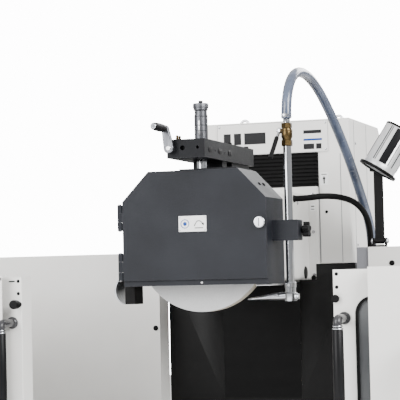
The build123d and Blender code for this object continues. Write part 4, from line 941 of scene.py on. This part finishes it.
def addApron(settings):
    # the CAD sheet with a wider notch round the wheel head
    sheet = nodes["apron"].copy()
    sheet.data = nodes["apron"].data.copy()
    sheet.animation_data_clear()
    bpy.context.collection.objects.link(sheet)
    sheet.hide_render = False
    pickOnly(sheet)
    pickMesh()
    bpy.ops.mesh.remove_doubles(threshold=0.00001)
    bpy.ops.object.mode_set(mode="OBJECT")
    cutter = roundedBlock(*settings["notch"], settings["edge"], 2)
    pickOnly(sheet)
    notch = sheet.modifiers.new("notch", "BOOLEAN")
    notch.operation = "DIFFERENCE"
    notch.solver = "EXACT"
    notch.object = cutter
    bpy.ops.object.modifier_apply(modifier=notch.name)
    bpy.data.objects.remove(cutter)
    finishPiece([sheet], "apronSheet", "column", blackSheet, "apron")


addApron(apronSettings)

# wheel head
headSettings = {
    "side": 110.0, "plate": 640.0, "lidTop": 152.4,
    "plug": {"x": 109.6, "y": 593.0, "z": -78.0, "radius": 18.0},
    "stop": (125.0, 640.0, -94.0),
    "sideScrews": [(110, 120), (110, -70), (300, 120), (300, -70), (520, 120)],
    "plateScrews": [(x, z) for x in (124.0, -124.0) for z in (150.0, 40.0, -85.0)],
    "lid": ((-85, 330, 149.4), (85, 610, 152.6)),
    "lidScrews": [(x, y) for x in (-76, 76) for y in (340, 470, 600)],
    "sticker": {"x": (116.0, 132.0), "z": (100, 122), "lines": [(113, 116), (105, 107)]},
}


def addHeadPieces(settings):
    plug, side, plate = settings["plug"], settings["side"], settings["plate"]
    radius = plug["radius"]
    finishPiece([turnedPart((plug["x"], plug["y"], plug["z"]), (1, 0, 0),
                            [(radius, 0), (radius, 1.5), (radius - 2, 3.0)], 32)],
                "headPlug", "wheel_head", blackPlastic)
    finishPiece([turnedPart(settings["stop"], (0, -1, 0), [(5, -1), (5, 9), (4.0, 10)], 20),
                 turnedPart(settings["stop"], (0, -1, 0), [(6.5, 8), (7.5, 9), (7.5, 15), (6.3, 16.5)], 8)],
                "headStopKnob", "wheel_head", blackPlastic)
    screws = [socketScrew((way * side, y, z), (way, 0, 0), 5.0, 2.5)
              for way in (1, -1) for y, z in settings["sideScrews"]]
    finishPiece(screws, "headSideScrews", "wheel_head", turnedSteel)
    addScrews("headPlateScrews", "wheel_head", [(x, plate, z) for x, z in settings["plateScrews"]], (0, -1, 0),
              (5.0, 2.0))
    finishPiece([roundedBlock(*settings["lid"], 1.2)], "headTopLid", "wheel_head", whitePaint)
    addScrews("headLidScrews", "wheel_head", [(x, y, settings["lidTop"]) for x, y in settings["lidScrews"]],
              (0, 0, 1), (4.0, 2.4))
    sticker = settings["sticker"]
    (x0, x1), (z0, z1) = sticker["x"], sticker["z"]
    finishPiece([roundedBlock((x0, plate - 0.8, z0), (x1, plate + 0.2, z1), 0.3, 1)], "headSticker",
                "wheel_head", labelWhite)
    finishPiece([roundedBlock((x0 + 3, plate - 1.2, low), (x1 - 3, plate - 0.4, high), 0.2, 1)
                 for low, high in sticker["lines"]], "headStickerLines", "wheel_head", labelDark)


addHeadPieces(headSettings)

# column cover
coverSettings = {
    "half": 233.0, "front": 662.0, "back": 1100.0, "top": 371.0, "footTop": floorLevel + 760.0,
    "seams": {"slideSeam": (139.6, (-50, 175)), "coverSeam": (205.0, (-50, 268))},
    "plug": (160, 98),
    "sideSeams": (720.0, 880.0), "sideSeamHeights": (-690, 366),
    "sideScrews": [(y, z) for y in (735, 1080) for z in (-660, -330, 0, 300)],
    "rearScrews": [(x, z) for x in (-178, 178) for z in (-625, -350, -75, 215)],
    "louvres": {"half": 110, "top": 120, "step": 22, "count": 9, "height": 9},
    "eyes": [(-150, 880), (150, 880)],
    "footBolts": [(x, y) for x in (-245, 245) for y in (600, 700, 1040)],
}
signSettings = {
    "front": 660.0,
    "bars": [(-150, -128, 306, 340), (-118, -96, 306, 340), (-86, -20, 306, 340), (96, 150, 330, 340),
             (96, 128, 284, 300), (134, 150, 284, 300)],
    "band": (96, 152, 309, 315),
    "rim": [(-170, 170, 366.6, 367.4), (-170, 170, 275.4, 276.2), (-170, -169.2, 275.4, 367.4),
            (169.2, 170, 275.4, 367.4)],
    "screws": [(x, z) for x in (-163, 163) for z in (282, 360)],
}


def addSign(settings):
    # frame line, plain bars and a thin band on the plate
    y = settings["front"]

    def strips(places, proud, bevel):
        return [roundedBlock((x0, y - proud, z0), (x1, y + 0.3, z1), bevel, 1) for x0, x1, z0, z1 in places]

    finishPiece(strips(settings["bars"], 0.7, 0.25), "signBars", "column", labelDark)
    finishPiece(strips([settings["band"]], 0.7, 0.25), "signBand", "column", labelBlue)
    finishPiece(strips(settings["rim"], 0.5, 0.2), "signRim", "column", greyPaintAndShade)
    screws = [turnedPart((x, y, z), (0, -1, 0), [(3.0, -0.2), (2.8, 1.0), (1.6, 1.5)], 16)
              for x, z in settings["screws"]]
    finishPiece(screws, "signScrews", "column", chrome)


def addCoverFront(settings):
    front = settings["front"]
    finishPiece([roundedBlock((142, front - 0.8, 176), (168, front + 0.2, 214), 0.3, 1)], "coverSticker",
                "column", labelWhite)
    finishPiece([roundedBlock((153, front - 1.3, 181), (157, front - 0.6, 197), 0.2, 1),
                 turnedPart((155, front - 0.9, 195), (0, 0, 1), [(4.6, 0), (0.3, 8)], 10),
                 roundedBlock((147, front - 1.3, 207), (163, front - 0.6, 209), 0.2, 1)],
                "coverStickerArrow", "column", labelDark)
    for name, (x, (z0, z1)) in settings["seams"].items():
        finishPiece([roundedBlock((x - 0.9, front - 0.6, z0), (x + 0.9, front + 0.3, z1), 0.2, 1)], name,
                    "column", greyPaintAndShade)
    x, z = settings["plug"]
    finishPiece([turnedPart((x, front, z), (0, -1, 0), [(4.4, -0.5), (4.4, 1.0), (3.0, 1.8)], 18)],
                "coverPlugs", "column", blackPlastic)


def addCoverSide(settings, name, side):
    half = settings["half"]
    seams = [sideBlock(side, half, half + 0.7, (y - 0.9, y + 0.9), settings["sideSeamHeights"], 0.25, 1)
             for y in settings["sideSeams"]]
    finishPiece(seams, "coverSideSeams" + name, "column", greyPaintAndShade)
    addScrews("coverSideScrews" + name, "column", [(side * half, y, z) for y, z in settings["sideScrews"]],
              (side, 0, 0), (4.2, 2.4))


def addCoverRear(settings):
    back, slats = settings["back"], settings["louvres"]
    finishPiece([roundedBlock((-190, back - 0.5, -640), (190, back + 2.0, 230), 1.0)], "coverRearDoor",
                "column", whitePaint)
    louvres = []
    for row in range(slats["count"]):
        z = slats["top"] - row * slats["step"]
        louvres.append(roundedBlock((-slats["half"], back + 1.5, z),
                                    (slats["half"], back + 6.5, z + slats["height"]), 2.2))
    finishPiece(louvres, "coverRearLouvres", "column", whitePaint)
    addScrews("coverRearScrews", "column", [(x, back + 1.8, z) for x, z in settings["rearScrews"]], (0, 1, 0),
              (5.0, 2.6))
    finishPiece([roundedBlock((140, back + 1.6, -230), (164, back + 5.0, -150), 1.5),
                 turnedPart((152, back + 4.0, -190), (0, 1, 0), [(8, 0), (8, 3.5), (6.5, 4.8)], 24)],
                "coverRearLatch", "column", blackPlastic)
    eyes = [ringPart((x, y, settings["top"] + 15), (0, 1, 0), 13, 4.2, 28, 10) for x, y in settings["eyes"]]
    eyes += [turnedPart((x, y, settings["top"] - 0.5), (0, 0, 1), [(12, 0), (12, 3), (7, 4), (6, 7)], 24)
             for x, y in settings["eyes"]]
    finishPiece(eyes, "liftingEyes", "column", turnedSteel)
    addScrews("columnFootBolts", "column", [(x, y, settings["footTop"]) for x, y in settings["footBolts"]],
              (0, 0, 1), (11, 12))


addSign(signSettings)
addCoverFront(coverSettings)
addCoverSide(coverSettings, "Left", -1)
addCoverSide(coverSettings, "Right", 1)
addCoverRear(coverSettings)
print("column pieces made")

# doors: handles, stops and window seals
doorSettings = {
    "front": -249.5,
    "handle": {"x": 428.0, "reach": 70.0, "high": -190.0, "low": -470.0, "bar": 10.4, "grip": 13.0},
    "flange": [(15, -0.3), (15, 4.5), (13.6, 6.5), (11.2, 9.0)],
    # the screws entry places black discs of painted shade in the door's two holes
    "stop": {"x": 409, "z": -144}, "screws": {"x": 411, "z": (-86, -117)},
    "window": {"x": 457.5, "width": 420.0, "top": -141.5, "low": floorLevel + 940.0, "edge": 6.0,
               "corner": 0.043, "lip": 0.007, "proud": 0.0028},
}


def addHandle(side, sign, settings):
    front, handle = settings["front"], settings["handle"]
    x, reach, high, low, grip = (handle[key] for key in ("x", "reach", "high", "low", "grip"))
    x *= sign
    far = front - reach
    body = side + "_door"
    elbows, rings, flanges = [], [], []
    for z, way in ((high, -1), (low, 1)):
        elbows.append(tubePart([(x, front - 2, z), (x, far + 26, z), (x, far, z), (x, far, z + way * 20),
                                (x, far, z + way * 32)], handle["bar"]))
        flanges.append(turnedPart((x, front, z), (0, -1, 0), settings["flange"], 28))
        rings += [ringPart((x, far, z + way * along), (0, 0, 1), radius, thickness, 32, 8)
                  for along, radius, thickness in ((17, 11.0, 1.5), (23, 12.0, 1.7))]
    finishPiece(elbows + flanges, side + "HandleElbows", body, elbowGrey)
    finishPiece(rings, side + "HandleRings", body, chrome)
    length = high - low
    profile = [(11.4, 24), (grip, 27), (grip + 0.4, length / 2), (grip, length - 27), (11.4, length - 24)]
    finishPiece([turnedPart((x, far, low), (0, 0, 1), profile, 32)], side + "HandleGrip", body, handleBlack,
                side + "_handle")


def addDoorStop(side, sign, settings):
    # the left one is longer and stouter
    front, stop, body = settings["front"], settings["stop"], side + "_door"
    length, radius = 24 - sign * 14, 10 - sign
    profile = [(7, -0.5), (7, length * 0.35), (radius, length * 0.42), (radius + 0.6, length * 0.9),
               (radius - 0.6, length)]
    finishPiece([turnedPart((sign * stop["x"], front, stop["z"]), (0, -1, 0), profile, 24)],
                side + "DoorStop", body, blackPlastic)
    # black discs sunk in the door's two holes: painted shade inside the holes
    screws = settings["screws"]
    profile = [(4.4, -1), (4.4, 0.2), (3.2, 0.6)]
    doorHoleShades = [turnedPart((sign * screws["x"], front + 1.0, z), (0, -1, 0), profile, 18) for z in screws["z"]]
    finishPiece(doorHoleShades, side + "DoorHoleShade", body, blackPlastic)


def addWindowSeal(side, sign, settings):
    # rubber profile round the window's cut-out
    window = settings["window"]
    top, low, edge = window["top"], window["low"], window["edge"]
    centre = fromWheel(sign * (window["x"] + window["width"] / 2), settings["front"], (top + low) / 2)
    bpy.ops.object.select_all(action="DESELECT")
    bpy.ops.mesh.primitive_plane_add(size=1.0, location=(0, 0, 0))
    seal = bpy.context.object
    seal.scale = ((window["width"] + edge) / 1000, (top - low + edge) / 1000, 1.0)
    bpy.ops.object.transform_apply(location=False, rotation=False, scale=True)
    pickMesh()
    bpy.ops.mesh.bevel(offset=window["corner"], segments=8, affect="VERTICES")
    bpy.ops.mesh.select_all(action="SELECT")
    bpy.ops.mesh.inset(thickness=window["lip"])
    bpy.ops.mesh.delete(type="FACE")
    bpy.ops.mesh.select_all(action="SELECT")
    bpy.ops.mesh.extrude_region_move(TRANSFORM_OT_translate={"value": (0, 0, window["proud"])})
    faceOutwards()
    seal.matrix_world = Matrix.Translation(centre) @ Matrix.Rotation(math.radians(90), 4, "X")
    finishPiece([seal], side + "WindowSeal", side + "_door", bellowsRubber)


for side, sign in (("left", -1), ("right", 1)):
    addHandle(side, sign, doorSettings)
    addDoorStop(side, sign, doorSettings)
for side, sign in (("left", -1), ("right", 1)):
    addWindowSeal(side, sign, doorSettings)
print("doors made")

# enclosure
enclosureSettings = {
    "half": 1030, "front": -287.2, "frontBack": -284.6,
    "rearScrews": [(-294, 428, -228), (400, 428, -58)],
    "rearScrew": [(7.5, -0.5), (7.5, 1.5), (5.5, 3.0)],
    "sideHatch": {"y": (-200, 340), "z": (-1300, -760), "thick": 2.5},
    "sideLouvres": {"y": (-60, 200), "z": range(-1200, -1000, 22), "height": 9},
    "sideScrews": [(y, z) for y in (-185, 325) for z in (-1285, -1030, -775)],
    "lowerHatches": {"lowerHatchLeft": (-980, -345), "lowerHatchMiddle": (-325, 325),
                     "lowerHatchRight": (345, 980)},
    "lowerHatchHeights": (-1390, -740), "lowerScrewHeights": (-1372, -1065, -758), "screwInset": 18,
}


def addEnclosurePieces(settings):
    finishPiece([turnedPart(at, (0, -1, 0), settings["rearScrew"], 24) for at in settings["rearScrews"]],
                "backPanelScrews", "bed", blackPlastic)
    finishPiece([roundedBlock((-443, -286.4, -83), (-441, -284.6, -76), 0.3, 1)], "leftPanelNotch", "bed",
                blackPlastic)
    finishPiece([roundedBlock((-436, -251.2, -87.5), (-420, -249.2, -84.5), 0.3, 1)], "leftDoorNotch",
                "left_door", blackPlastic)
    half = settings["half"]
    hatch, louvre = settings["sideHatch"], settings["sideLouvres"]
    for side, sign in (("left", -1), ("right", 1)):
        finishPiece([sideBlock(sign, half, half + hatch["thick"], hatch["y"], hatch["z"], 1.2)],
                    side + "SideHatch", "bed", whitePaint)
        louvres = [sideBlock(sign, half + 2, half + 7, louvre["y"], (z, z + louvre["height"]), 2.2)
                   for z in louvre["z"]]
        finishPiece(louvres, side + "SideLouvres", "bed", whitePaint)
        addScrews(side + "HatchScrews", "bed", [(sign * (half + 2.2), y, z) for y, z in settings["sideScrews"]],
                  (sign, 0, 0), (5.5, 2.8))
    z0, z1 = settings["lowerHatchHeights"]
    inset = settings["screwInset"]
    for name, (x0, x1) in settings["lowerHatches"].items():
        finishPiece([roundedBlock((x0, settings["front"], z0), (x1, settings["frontBack"], z1), 1.1)], name,
                    "bed", whitePaint)
        places = [(x, settings["front"] + 0.2, z) for x in (x0 + inset, x1 - inset)
                  for z in settings["lowerScrewHeights"]]
        addScrews(name + "Screws", "bed", places, (0, -1, 0), (5.5, 2.6))
    finishPiece([roundedBlock((-1010, -288.0, -1438), (1010, settings["frontBack"], -1398), 1.0)],
                "kickPlate", "bed", blackSheet)


addEnclosurePieces(enclosureSettings)

# feet and bed
bedSettings = {
    "feet": [(x, y) for x in (-880, 880) for y in (-155, 360)] + [(x, 1450) for x in (-300, 300)],
    "cone": (22.0, [(30, -0.5), (24, 6), (15, 8)]),            # height above the floor, profile
    "nut": (46.0, [(20, -1.0), (21, 0.6), (21, 9.0), (19.0, 10.0)]),
    "wayTop": floorLevel + 898.0, "wayBolts": [(x, y) for y in (-70, 230) for x in range(-840, 841, 140)],
}
nuts = []
for x, y in bedSettings["feet"]:
    for part, sides in (("cone", 28), ("nut", 6)):
        height, profile = bedSettings[part]
        nuts.append(turnedPart((x, y, floorLevel + height), (0, 0, 1), profile, sides))
finishPiece(nuts, "footNuts", "bed", turnedSteel)
addScrews("wayBolts", "bed", [(x, y, bedSettings["wayTop"]) for x, y in bedSettings["wayBolts"]], (0, 0, 1),
          (6.5, 0.8))

# work lamp
lampSettings = {
    "rim": (369.0, 410.0, 194.0), "lean": 31.0, "forward": 0.16,
    "shell": [(43.0, 26.0), (43.0, 4.0), (46.4, 4.0), (46.4, 20.0), (46.0, 21.0), (46.0, 128.0),
              (44.0, 133.0), (38.0, 135.0), (30.0, 135.0), (28.0, 132.0)],
    "hood": [(47.0, 9.0), (54.5, 8.0), (55.0, 6.5), (55.0, 1.5), (54.0, 0.0), (44.5, 0.0), (43.5, 2.0),
             (43.5, 7.0)],
    "endRing": [(46.2, 129.0), (47.0, 129.6), (47.0, 133.0), (44.0, 135.6), (40.0, 136.0)],
    "lens": [(43.2, 4.0), (43.2, 7.0), (42.0, 7.5)],
    # angle and width of each dark stripe
    "stripes": [(-64, 3), (-24, 3), (-17, 2), (12, 22), (34, 2), (52, 3), (120, 16), (200, 16)],
    "stripeRadius": 45.6, "stripeMiddle": 75, "stripeLength": 0.104,
    "hinge": (358, 475, 205), "hingeFoot": (358, 475, 4),
}


def addLampStripe(middle, outward, lampAxis, width, length):
    bpy.ops.object.select_all(action="DESELECT")
    bpy.ops.mesh.primitive_cube_add(size=1.0, location=(0, 0, 0))
    stripe = bpy.context.object
    turn = Matrix((lampAxis.cross(outward), outward, lampAxis)).transposed().to_4x4()
    depth = 0.0024 if width < 10 else 0.0036                   # a wide one lies deeper, as the shell is round
    stripe.matrix_world = (Matrix.Translation(fromWheel(*middle)) @ turn
                           @ Matrix.Diagonal((width / 1000, depth, length, 1.0)))
    pickOnly(stripe)
    bpy.ops.object.transform_apply(location=True, rotation=True, scale=True)
    pickMesh()
    bpy.ops.mesh.bevel(offset=0.0007, segments=2, affect="EDGES")
    bpy.ops.object.mode_set(mode="OBJECT")
    return stripe


def addLamp(settings):
    lean, rim = math.radians(settings["lean"]), Vector(settings["rim"])
    lampAxis = Vector((math.sin(lean), settings["forward"], math.cos(lean))).normalized()
    finishPiece([turnedPart(rim, lampAxis, settings["shell"], 64)], "lampShell", "lamp_head", lampAluminium,
                "lamp_head")
    finishPiece([turnedPart(rim, lampAxis, settings[part], 64) for part in ("hood", "endRing")], "lampHood",
                "lamp_head", blackPlastic)
    finishPiece([turnedPart(rim, lampAxis, settings["lens"], 48)], "lampLens", "lamp_head", lampGlass)
    side = Vector((math.cos(lean), 0.0, -math.sin(lean)))
    fore = side.cross(lampAxis)
    stripes = []
    for angle, width in settings["stripes"]:
        turn = math.radians(angle)
        outward = fore * math.cos(turn) + side * math.sin(turn)
        middle = rim + lampAxis * settings["stripeMiddle"] + outward * settings["stripeRadius"]
        stripes.append(addLampStripe(middle, outward, lampAxis, width, settings["stripeLength"]))
    finishPiece(stripes, "lampStripes", "lamp_head", labelDark)
    x, y, z = settings["hinge"]
    fork = [roundedBlock((x + near, y - 30, z - 8), (x + far, y + 7, z + 8), 1.5)
            for near, far in ((-18, -13.4), (13.4, 18))]
    fork += [turnedPart((x + way * 18, y, z), (way, 0, 0), [(6.5, -0.5), (6.5, 3.0), (5.2, 4.5)], 20)
             for way in (-1, 1)]
    finishPiece(fork, "lampFork", "lamp_head", blackSheet)
    x, y, z = settings["hingeFoot"]
    profile = [(7.5, -0.5), (7.5, 3.5), (6.0, 5.5), (3.0, 6.2)]
    screws = [turnedPart((x + way * 19, y, z), (way, 0, 0), profile, 24) for way in (-1, 1)]
    finishPiece(screws, "lampHingeScrews", "bed", chrome)


addLamp(lampSettings)

# control panel
panelSettings = {
    "x": 760.0, "z": -420.0, "front": -375.0, "rows": 3, "columns": 5,
    "button": [(11, -0.4), (11, 1.6), (9.4, 1.8), (9.0, 4.6), (7.8, 5.6)],
    "backplate": [(30, -0.4), (30, 1.0), (28.5, 1.6)],
    "selector": [(14, -0.4), (14, 3.0), (12, 4.2), (8.0, 4.4)],
    "stopFront": -383.0,
    "stop": [(7.6, 0.0), (7.6, 1.2), (17.0, 1.6), (20.0, 4.0), (20.0, 9.5), (18.0, 12.6), (12.0, 13.8),
             (6.0, 14.2)],
}


def addPanelPieces(settings):
    x, z, front = (settings[key] for key in ("x", "z", "front"))
    right, toFront = x + 100, (0, -1, 0)
    finishPiece([roundedBlock((x - 106, front + 3.0, z + 14), (x + 106, front + 6.0, z + 146), 1.5)],
                "panelScreen", "bed", windowGlass)
    buttons = [turnedPart((x - 120 + column * 36, front, z - 30 - row * 40), toFront, settings["button"], 24)
               for row in range(settings["rows"]) for column in range(settings["columns"])]
    finishPiece(buttons, "panelButtons", "bed", greyPaintAndShade)
    finishPiece([turnedPart((right, front, z - 120), toFront, settings["backplate"], 40)], "stopBackplate",
                "bed", labelYellow)
    finishPiece([turnedPart((right, front, z - 40), toFront, settings["selector"], 28),
                 roundedBlock((right - 3, front - 14, z - 49), (right + 3, front - 3, z - 31), 1.5)],
                "panelSelector", "bed", blackPlastic)
    finishPiece([roundedBlock((x - 146, front - 0.8, low), (x + 146, front + 0.3, low + 1.2), 0.3, 1)
                 for low in (z - 2, z + 168)], "panelLines", "bed", labelDark)
    finishPiece([turnedPart((right, settings["stopFront"], z - 120), toFront, settings["stop"], 40)],
                "stopButton", "emergency_stop", stopRed, "emergency_stop")


addPanelPieces(panelSettings)
print("panel made")

# floor, world and lights
stageSettings = {"floorSize": 40.0, "world": (1.0, 1.0, 1.0), "worldRange": (0.55, 1.6), "backdrop": 14.0}
bpy.ops.object.select_all(action="DESELECT")
bpy.ops.mesh.primitive_plane_add(size=stageSettings["floorSize"], location=(0, 0, 0))
floor = bpy.context.object
floor.name = "studioFloor"
floorMaterial, tree, shader, place = startMaterial("studioFloor", {"shader": {"Roughness": 0.8}})
cloud = addNode(tree, "ShaderNodeTexNoise", None, {"Vector": place, "Scale": 0.8})
tree.links.new(mixColour(tree, cloud.outputs["Fac"], (0.84, 0.84, 0.84), (0.88, 0.88, 0.88)),
               shader.inputs["Base Color"])
floor.data.materials.append(floorMaterial)

world = bpy.data.worlds.new("studioWorld")
bpy.context.scene.world = world
world.use_nodes = True
tree = world.node_tree
background = tree.nodes["Background"]
height = addNode(tree, "ShaderNodeSeparateXYZ", None,
                 {0: addNode(tree, "ShaderNodeTexCoord").outputs["Generated"]})
glow = smoothRange(tree, height.outputs["Z"], -0.15, 0.75, *stageSettings["worldRange"])   # brighter overhead
seen = addNode(tree, "ShaderNodeLightPath").outputs["Is Camera Ray"]
power = addNode(tree, "ShaderNodeMix", {"data_type": "FLOAT"}, {0: seen, 2: glow, 3: stageSettings["backdrop"]})
background.inputs["Color"].default_value = (*stageSettings["world"], 1.0)
tree.links.new(power.outputs[0], background.inputs["Strength"])

studioLights = {
    "keyLight": {"place": (4.6, -3.0, 4.4), "aim": (0, -0.3, 1.4), "size": 3.0, "power": 620.0},
    "fillLight": {"place": (-2.6, -5.2, 3.4), "aim": (0, -0.3, 1.3), "size": 3.5, "power": 420.0},
    "rearLight": {"place": (1.5, 5.0, 4.5), "aim": (0, 0, 1.2), "size": 3.0, "power": 220.0},
}
for name, settings in studioLights.items():
    data = bpy.data.lights.new(name, "AREA")
    data.size = settings["size"]
    data.energy = settings["power"]
    light = bpy.data.objects.new(name, data)
    bpy.context.collection.objects.link(light)
    light.location = settings["place"]
    towards = Vector(settings["aim"]) - Vector(settings["place"])
    light.rotation_euler = towards.to_track_quat("-Z", "Y").to_euler()
print("stage and lights made")
